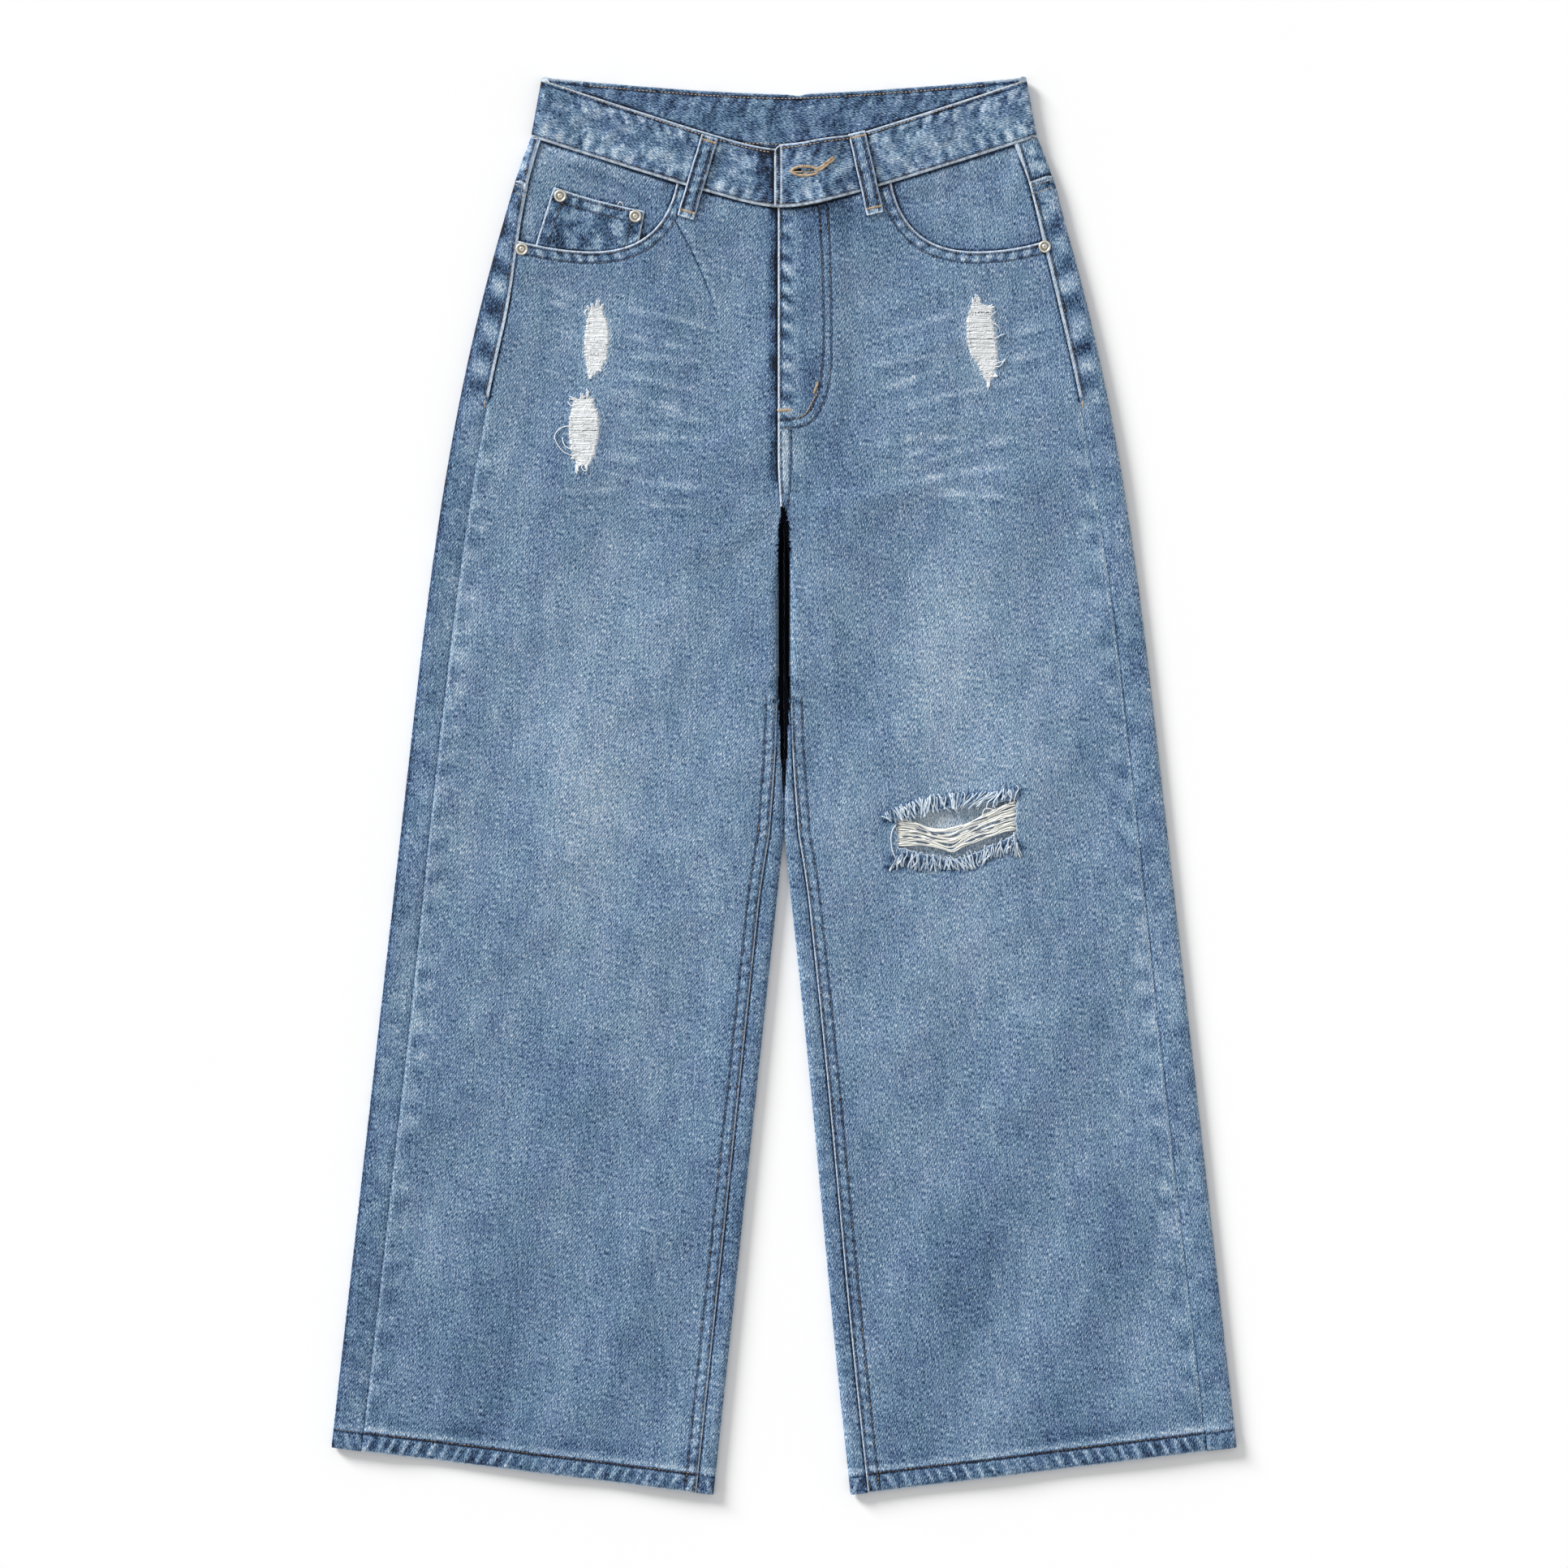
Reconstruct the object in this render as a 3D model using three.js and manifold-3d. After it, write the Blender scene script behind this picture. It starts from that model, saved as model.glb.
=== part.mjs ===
// Wide-leg ripped jeans, laid out flat on their back, in millimetres.
// +Z is up from the table, +Y runs from the hems to the waist, and +X is to the right as one looks
// down on the front. "Left" and "right" in the names are the wearer's: the left leg lies at +X.
// The origin is on the table, under the middle of the garment.
import * as THREE from "three";
import { mergeVertices } from "three/addons/utils/BufferGeometryUtils.js";
import Module from "manifold-3d";

const wasm = await Module();
wasm.setup();

// ---- Driving sizes -------------------------------------------------------------------------
const cloth = 1.2; // one layer of denim
const band = 2.4; // the waistband is two layers
const seam = 0.3; // daylight between pieces that are sewn together
const halfLength = 510; // waist corners and inner hem corners, from the origin
const waistHalf = 174.3; // half the waist, at its top corners
const sideSeamTop = { x: 182.2, y: 467 }; // where a side meets the waistband
const frontDrop = 51; // the waist seam dips this far at the centre front
const bandHeight = 42;
const backTopDip = 12; // the back waistband's top edge sags this far at the centre
const hemHalf = 326; // outer hem corner from the centre line
const hemOuterY = -476;
const hemInnerY = -halfLength;
const hemHeight = 13; // the turned-up hem
const kneeY = 40; // below this the side of the leg is straight
const kneeHalf = 267.7;
const crotchY = 190;
const legSplitY = -35; // the legs part below this
const legSplay = 0.1065; // and draw apart by this share of the way down
const foldHeight = 6.2; // a leg's thickness over its folds
const legSag = 1.1; // the cloth between two folds lies this much lower
const seatLift = 1.8; // back pockets and loops hold the seat off the table
const hipRise = 1.4; // the front of the hips lies this much higher than that of the legs
const flyEdge = 4.5; // the fly's edge lies this far to the wearer's right of the centre line
const flyLength = 155;

// ---- Small helpers -------------------------------------------------------------------------
const mix = (a, b, t) => a + (b - a) * t;
const step = (from, to, value) => {
  const t = Math.min(1, Math.max(0, (value - from) / (to - from)));
  return t * t * (3 - 2 * t);
};
const steps = (count) => Array.from({ length: count + 1 }, (_, i) => i / count);

// ---- The garment's outline, for the half at +X ------------------------------------------------
// Half the width: straight legs below the knee, a full curve over the hip, a straight waistband.
function outerX(y) {
  if (y > sideSeamTop.y)
    return mix(sideSeamTop.x, waistHalf, (y - sideSeamTop.y) / (halfLength - sideSeamTop.y));
  if (y < kneeY) return mix(kneeHalf, hemHalf, (kneeY - y) / (kneeY - hemOuterY));
  const legSlope = (hemHalf - kneeHalf) / (kneeY - hemOuterY);
  const rise = y - kneeY;
  const hipShare = (rise / (sideSeamTop.y - kneeY)) ** 2.74;
  const hipTaper = kneeHalf - legSlope * (sideSeamTop.y - kneeY) - sideSeamTop.x;
  return kneeHalf - legSlope * rise - hipTaper * hipShare;
}

// The inner fold of a leg: the two touch as far as legSplitY.
const innerX = (y) => 0.15 + Math.max(0, legSplitY - y) * legSplay;

// How far the side seam lies in from the fold, on the front. The back wraps round to meet it.
const sideInset = (side, y) =>
  y > kneeY
    ? mix(20, side > 0 ? 17 : 7, step(330, sideSeamTop.y, y))
    : mix(20, 21.5, step(kneeY, -200, y));

// The seam between the waistband and the front.
const waistSeamY = (x) => {
  const round = 8; // softens the dip at the centre
  return sideSeamTop.y - frontDrop + Math.hypot(0.32 * x, round) - round;
};

// The back waistband's top edge, its seam, and the yoke's seam.
const backTopY = (x) => halfLength - backTopDip + backTopDip * (Math.abs(x) / waistHalf) ** 1.4;
const backSeamY = (x) => mix(backTopY(0) - bandHeight, sideSeamTop.y, (Math.abs(x) / sideSeamTop.x) ** 1.4);
const yokeSeam = { side: 434, centre: 398 };

// ---- Heights above the table -------------------------------------------------------------------
const bottomFace = (y) => seatLift * step(150, 230, y);
const edgeTop = (y) => foldHeight + hipRise * step(150, 230, y);
// Outer face of the top layer, sagging between the folds.
function topFace(x, y) {
  const hip = step(crotchY, 250, y);
  const fromOuter = outerX(y) - x;
  const fromInner = x - innerX(y) + 200 * hip;
  const nearHem = 1 - 0.6 * step(-430, hemInnerY, y);
  return edgeTop(y) - legSag * nearHem * step(4, 60, Math.min(fromOuter, fromInner));
}

// ---- Section of a leg: once round the flattened tube -------------------------------------------
// q 0..1 runs from the side seam out to the outer fold, 1..2 round it, 2..3 along the table,
// 3..4 round the inner fold and 4..5 back over the top. Gives x and z of the cloth's middle.
function round(side, y, q) {
  const low = bottomFace(y) + cloth / 2;
  const high = edgeTop(y) - cloth / 2;
  const r = (high - low) / 2;
  const outerTangent = outerX(y) - cloth / 2 - r;
  const wide = mix(r, 6, step(-20, 60, y)); // the inner fold is softer near the crotch
  const innerTangent = innerX(y) + cloth / 2 + wide;
  const seamX = outerX(y) - sideInset(side, y);
  if (q <= 1) return [mix(seamX, outerTangent, q), high];
  if (q <= 2) {
    const turn = Math.PI * (q - 1);
    return [outerTangent + r * Math.sin(turn), low + r + r * Math.cos(turn)];
  }
  if (q <= 3) return [mix(outerTangent, innerTangent, q - 2), low];
  if (q <= 4) {
    const turn = Math.PI * (q - 3);
    return [innerTangent - wide * Math.sin(turn), low + r - r * Math.cos(turn)];
  }
  const x = mix(innerTangent, seamX, q - 4);
  return [x, topFace(x, y) - cloth / 2];
}

// Where the inseam lies in that section: under the fold at the crotch, on the front lower down.
function inseamAt(side, y) {
  const inset = mix(1.5, 9, step(20, -60, y));
  const top = outerX(y) - sideInset(side, y) - innerX(y) - 3;
  if (y > 20) return mix(3.98, 3.36, step(20, crotchY, y));
  return 4 + (inset * step(20, -20, y)) / top;
}
const closed = (y) => 1 - step(crotchY, 220, y); // 0 in the hips, 1 where the legs are tubes

// ---- Solids ------------------------------------------------------------------------------------
// A closed wall from a grid of points in the cloth's middle. out and into are its two half
// thicknesses; flip says which way the grid turns.
function wall(grid, flip, out = () => cloth / 2, into = () => cloth / 2) {
  const rows = grid.length;
  const columns = grid[0].length;
  const outer = [];
  const inner = [];
  for (let i = 0; i < rows; i++)
    for (let j = 0; j < columns; j++) {
      const down = grid[Math.min(i + 1, rows - 1)][j].clone().sub(grid[Math.max(i - 1, 0)][j]);
      const along = grid[i][Math.min(j + 1, columns - 1)].clone().sub(grid[i][Math.max(j - 1, 0)]);
      const normal = down.cross(along).normalize().multiplyScalar(flip);
      outer.push(grid[i][j].clone().addScaledVector(normal, out(i, j)));
      inner.push(grid[i][j].clone().addScaledVector(normal, -into(i, j)));
    }
  const points = [...outer, ...inner];
  const faces = [];
  const quad = (a, b, c, d) => faces.push([a, b, c], [a, c, d]);
  const at = (i, j, layer) => layer * rows * columns + i * columns + j;
  for (let i = 0; i + 1 < rows; i++)
    for (let j = 0; j + 1 < columns; j++) {
      quad(at(i, j, 0), at(i + 1, j, 0), at(i + 1, j + 1, 0), at(i, j + 1, 0));
      quad(at(i, j, 1), at(i, j + 1, 1), at(i + 1, j + 1, 1), at(i + 1, j, 1));
    }
  const rim = (a, b) => quad(at(...a, 0), at(...b, 0), at(...b, 1), at(...a, 1));
  for (let j = 0; j + 1 < columns; j++) {
    rim([0, j], [0, j + 1]);
    rim([rows - 1, j + 1], [rows - 1, j]);
  }
  for (let i = 0; i + 1 < rows; i++) {
    rim([i + 1, 0], [i, 0]);
    rim([i, columns - 1], [i + 1, columns - 1]);
  }
  const position = faces.flatMap((f) => (flip > 0 ? f : [f[0], f[2], f[1]])).flatMap((n) => points[n].toArray());
  return new THREE.BufferGeometry().setAttribute("position", new THREE.Float32BufferAttribute(position, 3));
}

function solidOf(geometry) {
  const bare = geometry.clone();
  bare.deleteAttribute("normal");
  bare.deleteAttribute("uv");
  const merged = mergeVertices(bare, 1e-3);
  return new wasm.Manifold(
    new wasm.Mesh({
      numProp: 3,
      vertProperties: merged.attributes.position.array,
      triVerts: new Uint32Array(merged.index.array),
    }),
  );
}

function geometryOf(solid) {
  const mesh = solid.getMesh();
  const index = new THREE.BufferAttribute(mesh.triVerts, 1);
  const geometry = new THREE.BufferGeometry().setAttribute(
    "position",
    new THREE.BufferAttribute(mesh.vertProperties, 3),
  );
  return geometry.setIndex(index).toNonIndexed();
}

// A prism over an outline of [x, y] points, between two heights.
function prism(outline, low, high) {
  const shape = new THREE.Shape(outline.map(([x, y]) => new THREE.Vector2(x, y)));
  const geometry = new THREE.ExtrudeGeometry(shape, { depth: high - low, bevelEnabled: false });
  return geometry.translate(0, 0, low);
}
const cut = (geometry, ...outlines) =>
  geometryOf(outlines.reduce((solid, o) => solid.subtract(solidOf(prism(o, -20, 40))), solidOf(geometry)));

// ---- Colours -----------------------------------------------------------------------------------
const finish = (color, roughness, metalness = 0) => new THREE.MeshStandardMaterial({ color, roughness, metalness });
const denim = () => finish(0x7590ad, 0.9);
const denimDark = () => finish(0x5c7898, 0.9);
const weft = () => finish(0xdfe2e0, 0.95);
const nickel = () => finish(0xcfc4b2, 0.35, 0.9);

const jeans = new THREE.Group();
function add(name, geometry, material) {
  const mesh = new THREE.Mesh(geometry, material);
  mesh.name = name;
  jeans.add(mesh);
}

// ---- Legs --------------------------------------------------------------------------------------
// A row of a panel is a straight line from the outer fold to the centre or the inner fold.
function rowOf(top, y) {
  const down = (top.centre - y) / (top.centre - hemInnerY);
  const outerY = mix(top.side, hemOuterY, down);
  const slope = (y - outerY) / (outerX(outerY) - innerX(y));
  return { down, outerY, at: (x) => outerY + slope * (outerX(outerY) - x) };
}

const hemRows = [hemInnerY + hemHeight + 1, hemInnerY + hemHeight, hemInnerY];
const inHem = (rows) => (i) => (i >= rows.length - 2 ? cloth * 1.5 : cloth / 2);

// Draws both ends of a row in, to leave the seams' gaps.
function trimmed(row, atInner) {
  const draw = (end, next, by) => end.addScaledVector(next.clone().sub(end).normalize(), by);
  draw(row[0], row[1], seam / 2);
  draw(row[row.length - 1], row[row.length - 2], atInner);
  return row;
}
// At the inseam the walls meet on a tight bend, so they keep a little more.
const inseamTrim = (y) => (y < 250 ? seam : 0);

const seatRows = [360, 320, 285, 268, 250, 222, 205, crotchY, 160, 125, 90, 60, 35, 12, -12, -35, -70];
const shinRows = [-130, -220, -320, -420];

function backPanel(side) {
  const top = { side: yokeSeam.side - seam, centre: yokeSeam.centre - seam };
  const rows = [top.centre, ...seatRows, ...shinRows, ...hemRows];
  const before = [0, 0.5, 1, 1.25, 1.5, 1.75, 2, 2.2, 2.4, 2.6, 2.8, 3];
  const grid = rows.map((y) => {
    const row = rowOf(top, y);
    const outside = before.map((q) => {
      const [x, z] = round(side, q <= 2 ? row.outerY : y, q);
      return new THREE.Vector3(side * x, row.at(x), z);
    });
    const [tangent] = round(side, y, 3);
    const inside = [0.25, 0.5, 0.75, 1].map((k) => {
      const [rx, rz] = round(side, y, mix(3, inseamAt(side, y), k));
      const x = mix(mix(tangent, seam / 2, k), rx, closed(y));
      return new THREE.Vector3(side * x, row.at(x), mix(bottomFace(y) + cloth / 2, rz, closed(y)));
    });
    return trimmed([...outside, ...inside], inseamTrim(y));
  });
  return wall(grid, side, undefined, inHem(rows));
}

// The front-left panel rides up over the fly's facing and zip.
const flyRaise = (x, y) => 1.6 * step(232, 262, y) * (1 - step(34, 52, x));
// The front-right panel rides up over the coin pocket.
const coinRaise = (x, y) => 2.2 * step(82, 98, x) * step(352, 374, y);

// The centre edge of a front. The left one laps over the right one along the fly.
function centreEdge(side, y) {
  const below = flyEdge * step(crotchY, 240, y);
  return side > 0 ? -below : mix(below, -2, step(268, 285, y));
}

function frontPanel(side) {
  const top = { side: waistSeamY(sideSeamTop.x) - seam, centre: waistSeamY(0) - seam };
  const rows = [top.centre, 395, 376, ...seatRows, ...shinRows, ...hemRows];
  const raise = side > 0 ? flyRaise : coinRaise;
  const grid = rows.map((y) => {
    const row = rowOf(top, y);
    const waistCurve = (x) =>
      (waistSeamY(x) - seam - rowOf(top, top.centre).at(x)) * Math.max(0, 1 - row.down * 5) ** 2;
    const place = (x, z) => new THREE.Vector3(side * x, row.at(x) + waistCurve(x), z);
    const across = steps(9).map((k) => {
      const [x] = round(side, mix(row.outerY, y, k), mix(5, 4.04, k));
      const py = row.at(x) + waistCurve(x);
      return place(x, topFace(x, py) - cloth / 2 + raise(x, py));
    });
    const [start] = round(side, y, 4.04);
    const inside = [0.25, 0.5, 0.75, 1].map((k) => {
      const [rx, rz] = round(side, y, mix(4.04, inseamAt(side, y), k));
      const flat = mix(start, centreEdge(side, y) + seam / 2, k);
      const lie = topFace(Math.max(0, flat), y) - cloth / 2 + raise(flat, y);
      const z = mix(lie, rz + (raise(rx, y) * (rz - cloth)) / 6, closed(y));
      return place(mix(flat, rx, closed(y)), z);
    });
    return trimmed([...across, ...inside], inseamTrim(y));
  });
  return wall(grid, -side, undefined, inHem(rows));
}

// The scooped edge of the front pocket, from the waist seam round to the side seam.
function pocketMouth(beyond = 0) {
  const scoop = new THREE.CubicBezierCurve(
    new THREE.Vector2(78, 431),
    new THREE.Vector2(84, 401),
    new THREE.Vector2(104, 384.5),
    new THREE.Vector2(138, 384.5),
  );
  const run = new THREE.QuadraticBezierCurve(
    new THREE.Vector2(138, 384.5),
    new THREE.Vector2(162, 384.5),
    new THREE.Vector2(188, 392),
  );
  const moved = (curve, t) => {
    const tangent = curve.getTangent(t);
    const point = curve.getPoint(t);
    return [point.x - beyond * -tangent.y, point.y - beyond * tangent.x];
  };
  return [...steps(7).map((t) => moved(scoop, t)), ...steps(4).slice(1).map((t) => moved(run, t))];
}
const mirrored = (side, outline) => outline.map(([x, y]) => [side * x, y]);
const pocketCut = (side) => mirrored(side, [[78 - 4, 460], ...pocketMouth(), [230, 392], [230, 500]]);

// ---- Rips --------------------------------------------------------------------------------------
// Upright slashes on the thighs: a pointed oval, leaning a little. grow makes it bigger all round.
function slash({ x, y, width, length, lean }, grow = 0) {
  const half = length / 2 + grow;
  const side = (sign) =>
    steps(6)
      .slice(0, -1)
      .map((t) => {
        const up = sign * mix(half, -half, t);
        const out = sign * (width / 2 + grow) * Math.sin(Math.PI * t) ** 0.7;
        return [x + out + lean * up, y + up];
      });
  return [...side(1), ...side(-1)];
}
const slashes = {
  thigh_right_upper: { x: -135, y: 321, width: 16, length: 50, lean: 0.04 },
  thigh_right_lower: { x: -143, y: 257, width: 20, length: 50, lean: 0.04 },
  thigh_left: { x: 142, y: 320, width: 20, length: 58, lean: -0.1 },
};

// The knee rip: a slanting tear, crossed by a band of bare weft threads.
const kneeTear = [
  [82, -25], [96, -24], [112, -19], [134, -15], [152, -14.5], [166, -12],
  [166.5, -30], [154, -38], [140, -44], [124, -50.5], [108, -47], [94, -43], [82, -42.5],
];
const kneeThreads = [
  [82.6, -26], [98, -27], [112, -32.5], [128, -30], [146, -22.5], [165.8, -13.5],
  [165.8, -29], [150, -34], [136, -38], [124, -47], [108, -41], [94, -41], [82.6, -41],
];
const kneeFringes = {
  upper: [[72, -24], [76, -14], [110, -3], [140, 4], [165, 8], [167, -8], [136, -13], [104, -19]],
  lower: [[76, -60], [84, -46], [108, -50], [126, -53.5], [142, -47], [160, -38], [168, -46], [140, -59], [108, -62]],
};

// ---- Fronts, backs and yokes ---------------------------------------------------------------------
add("front_left", cut(frontPanel(1), pocketCut(1), kneeTear, slash(slashes.thigh_left)), denim());
add(
  "front_right",
  cut(frontPanel(-1), pocketCut(-1), slash(slashes.thigh_right_upper), slash(slashes.thigh_right_lower)),
  denim(),
);
add("back_left", backPanel(1), denim());
add("back_right", backPanel(-1), denim());

function yoke(side) {
  const across = [0, 0.5, 1, 1.25, 1.5, 1.75, 2, 2.25, 2.5, 2.75, 3];
  const grid = steps(2).map((k) =>
    across.map((q) => {
      const sideY = mix(sideSeamTop.y - seam, yokeSeam.side, k);
      const [x, z] = q < 3 ? round(side, sideY, q) : [seam / 2, bottomFace(sideY) + cloth / 2];
      const topY = (q < 2 ? waistSeamY(x) : backSeamY(x)) - seam;
      const lowY = q < 2 ? yokeSeam.side : mix(yokeSeam.centre, yokeSeam.side, x / outerX(sideY));
      return new THREE.Vector3(side * x, mix(topY, lowY, k), z);
    }),
  );
  grid.forEach((row) => {
    row[0].x -= (side * -seam) / 2;
  });
  return wall(grid, -side);
}
add("yoke_left", yoke(1), denim());
add("yoke_right", yoke(-1), denim());

// ---- Waistband -----------------------------------------------------------------------------------
// How the band's ends lean in as it rises; k is 0 at its seam and 1 at its top edge.
const bandX = (x, k) => mix(x, (x * waistHalf) / sideSeamTop.x, (k * Math.abs(x)) / sideSeamTop.x);

// Each front length goes from its end at the fly round the side fold, and is joined to the back
// length under the seat, joinX from the centre.
const joinX = 150;
const underlapEnd = 34; // the right end runs this far past the centre, below the left end
const button = { x: 20, y: 441, radius: 7, height: 2.3 };
const bandFace = (x, y) => topFace(Math.max(0, x), y) + 0.6;
// How far the left end stands off, over the underlap and over the button.
const flapRaise = (x) => 2.7 * (1 - step(36, 66, x)) + 2.6 * (1 - step(6, 26, Math.abs(x - button.x)));
const flapRise = 3.5; // the left end is cut a little taller

function frontBand(side) {
  const end = side > 0 ? -7 : -underlapEnd;
  const stations = [joinX + seam, 165, 172, "a", "b", "c", 176, 160, 130, 100, 72, 52, 36, 28, 20, 12, 2];
  const xs = [...stations.filter((s) => s !== 2 || end < 2), end];
  const low = seatLift + band / 2;
  const grid = xs.map((station, n) => {
    const seamSide = n < 3 ? backSeamY : waistSeamY;
    const onBack = n < 3;
    const fold = { a: 0.15, b: 0.5, c: 0.85 }[station];
    return steps(3).map((k) => {
      // k runs up the band, from its seam to its top edge
      const cornerX = mix(sideSeamTop.x, waistHalf, k);
      const cornerY = mix(sideSeamTop.y, halfLength, k);
      const high = bandFace(cornerX, cornerY) - band / 2;
      const r = (high - low) / 2;
      if (fold) {
        const turn = Math.PI * fold;
        const x = cornerX - band / 2 - r + r * Math.sin(turn);
        return new THREE.Vector3(side * x, cornerY, low + r - r * Math.cos(turn));
      }
      const share = Math.abs(station) / sideSeamTop.x;
      const x = bandX(station, k);
      const rise = side > 0 && !onBack ? flapRise * (1 - step(20, 60, x)) : 0;
      const topY = onBack ? backTopY(x) : waistSeamY(x) + (bandHeight + rise + 1.6 * share);
      const y = mix(seamSide(x), topY, k);
      const raise = side > 0 && !onBack ? flapRaise(x) : 0;
      return new THREE.Vector3(side * x, y, onBack ? low : bandFace(x, y) - band / 2 + raise);
    });
  });
  const half = () => band / 2;
  return wall(grid, side, half, half);
}

// The buttonhole is a slot in the left end, with its eye towards the edge.
const buttonhole = { eye: 9, y: 442.5, length: 20, width: 2.4 };
function buttonholeCut() {
  const { eye, y, length, width } = buttonhole;
  const end = (x, from) =>
    steps(4).map((t) => {
      const turn = from + Math.PI * t;
      return [x + (width / 2) * Math.cos(turn), y + (width / 2) * Math.sin(turn)];
    });
  return [...end(eye, Math.PI / 2), ...end(eye + length, -Math.PI / 2)];
}

add("waistband_left", cut(frontBand(1), buttonholeCut()), denimDark());
add("waistband_right", frontBand(-1), denimDark());

function backBand() {
  const xs = steps(10).map((t) => mix(-joinX, joinX, t));
  const grid = steps(2).map((k) =>
    xs.map((station) => {
      const x = bandX(station, 1 - k);
      return new THREE.Vector3(x, mix(backTopY(x), backSeamY(x), k), seatLift + band / 2);
    }),
  );
  const half = () => band / 2;
  return wall(grid, 1, half, half);
}
add("waistband_back", backBand(), denimDark());

// ---- Front pockets ---------------------------------------------------------------------------------
const facingDrop = cloth + seam; // a facing lies this far under the front's outer face
function pocketFacing(side) {
  const lower = pocketMouth(15).slice(1);
  const grid = steps(3).map((k) =>
    lower.map(([lx, ly], n) => {
      const share = (n + 1) / lower.length;
      const seamX = outerX(ly) - sideInset(side, ly) - seam;
      const bottomX = Math.min(lx, seamX - (1 - share) * 20);
      const topX = mix(66, outerX(462) - sideInset(side, 462) - seam, share);
      const topY = waistSeamY(topX) - seam;
      const y = mix(topY, n === lower.length - 1 ? 377 : ly, k);
      const sideX = outerX(y) - sideInset(side, y) - seam;
      const x = n === lower.length - 1 ? sideX : Math.min(mix(topX, bottomX, k), sideX - 2);
      return new THREE.Vector3(side * x, y, topFace(x, y) - facingDrop - cloth / 2);
    }),
  );
  return wall(grid, side);
}
add("pocket_facing_left", pocketFacing(1), denim());
add("pocket_facing_right", pocketFacing(-1), denim());

// The coin pocket: a small slanting patch on the right facing.
const coin = { outerTop: [164.4, 431], innerTop: [100.3, 414], innerLow: [105.5, 381], outerLow: [180, 381] };
function coinPocket() {
  const grid = steps(3).map((k) =>
    steps(4).map((t) => {
      const x = mix(mix(coin.outerTop[0], coin.innerTop[0], t), mix(coin.outerLow[0], coin.innerLow[0], t), k);
      const y = mix(mix(coin.outerTop[1], coin.innerTop[1], t), mix(coin.outerLow[1], coin.innerLow[1], t), k);
      return new THREE.Vector3(-x, y, topFace(x, y) - cloth / 2);
    }),
  );
  return wall(grid, 1);
}
add("coin_pocket", coinPocket(), denim());

// ---- Fly -------------------------------------------------------------------------------------------
const flyTop = waistSeamY(0) - seam - 1;
function flyFacing() {
  const outline = [
    [2.8, flyTop], [32, flyTop], [34, 332], [32.5, 303], [28, 285], [18, 274], [2.8, 270],
  ];
  const high = topFace(0, 300) + flyRaise(0, 300) - cloth - seam;
  return prism(outline, high - cloth, high);
}
add("fly_facing", flyFacing(), denimDark());

function zip() {
  const low = seatLift + cloth + seam;
  const bar = (x0, x1, y0, y1, z0, z1) => solidOf(prism([[x0, y0], [x1, y0], [x1, y1], [x0, y1]], z0, z1));
  const foot = flyTop - flyLength;
  const tape = bar(-13, 17, foot, flyTop - 1, low, low + 0.8);
  const chain = bar(-0.5, 5, foot + 6, flyTop - 3, low + 0.4, low + 1.4);
  const slider = bar(-2, 6.5, flyTop - 18, flyTop - 7, low + 0.4, low + 1.7);
  return geometryOf(tape.add(chain).add(slider));
}
add("zip", zip(), nickel());

// ---- Belt loops ------------------------------------------------------------------------------------
const loop = { width: 12.5, thick: 1.5, arch: 1.2 };
function frontLoop(side, top, low) {
  const along = new THREE.Vector2(low[0] - top[0], low[1] - top[1]);
  const across = new THREE.Vector2(-along.y, along.x).normalize();
  const grid = steps(8).map((k) =>
    steps(2).map((t) => {
      const x = mix(top[0], low[0], k) + across.x * (t - 0.5) * loop.width;
      const y = mix(top[1], low[1], k) + across.y * (t - 0.5) * loop.width;
      const onBand = step(waistSeamY(x) - 4, waistSeamY(x) + 3, y);
      const raise = side > 0 ? flapRaise(x) : 0;
      const face = mix(topFace(x, y) + (side > 0 ? flyRaise(x, y) : 0), bandFace(x, y) + raise, onBand);
      const lift = loop.arch * Math.sin(Math.PI * k) ** 0.7 + 0.7 * step(0, 0.3, onBand) * step(1, 0.7, onBand);
      return new THREE.Vector3(side * x, y, face + 0.4 + loop.thick / 2 + lift);
    }),
  );
  const half = () => loop.thick / 2;
  return wall(grid, side, half, half);
}
add("belt_loop_front_left", frontLoop(1, [52.5, 469.5], [65.5, 412]), denimDark());
add("belt_loop_front_right", frontLoop(-1, [53, 467], [71, 409]), denimDark());

// Behind, the loops lie on the table under the back waistband.
function backLoop(x) {
  const high = backTopY(x) - 1;
  const low = high - 58;
  const half = loop.width / 2;
  return prism([[x - half, low], [x + half, low], [x + half, high], [x - half, high]], 0, loop.thick);
}
add("belt_loop_back_left", backLoop(112), denimDark());
add("belt_loop_back_right", backLoop(-112), denimDark());
add("belt_loop_back_centre", backLoop(6), denimDark());

// ---- Back pockets ----------------------------------------------------------------------------------
function backPocket(side) {
  const { x, y, wide, narrow, tall, point } = { x: 98, y: 382, wide: 72, narrow: 62, tall: 140, point: 16 };
  const outline = [
    [x - wide, y - 6], [x + wide, y + 6], [x + narrow, y - tall + 6], [x, y - tall - point], [x - narrow, y - tall - 4],
  ];
  return prism(mirrored(side, outline), 0, cloth);
}
add("back_pocket_left", backPocket(1), denim());
add("back_pocket_right", backPocket(-1), denim());

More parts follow.
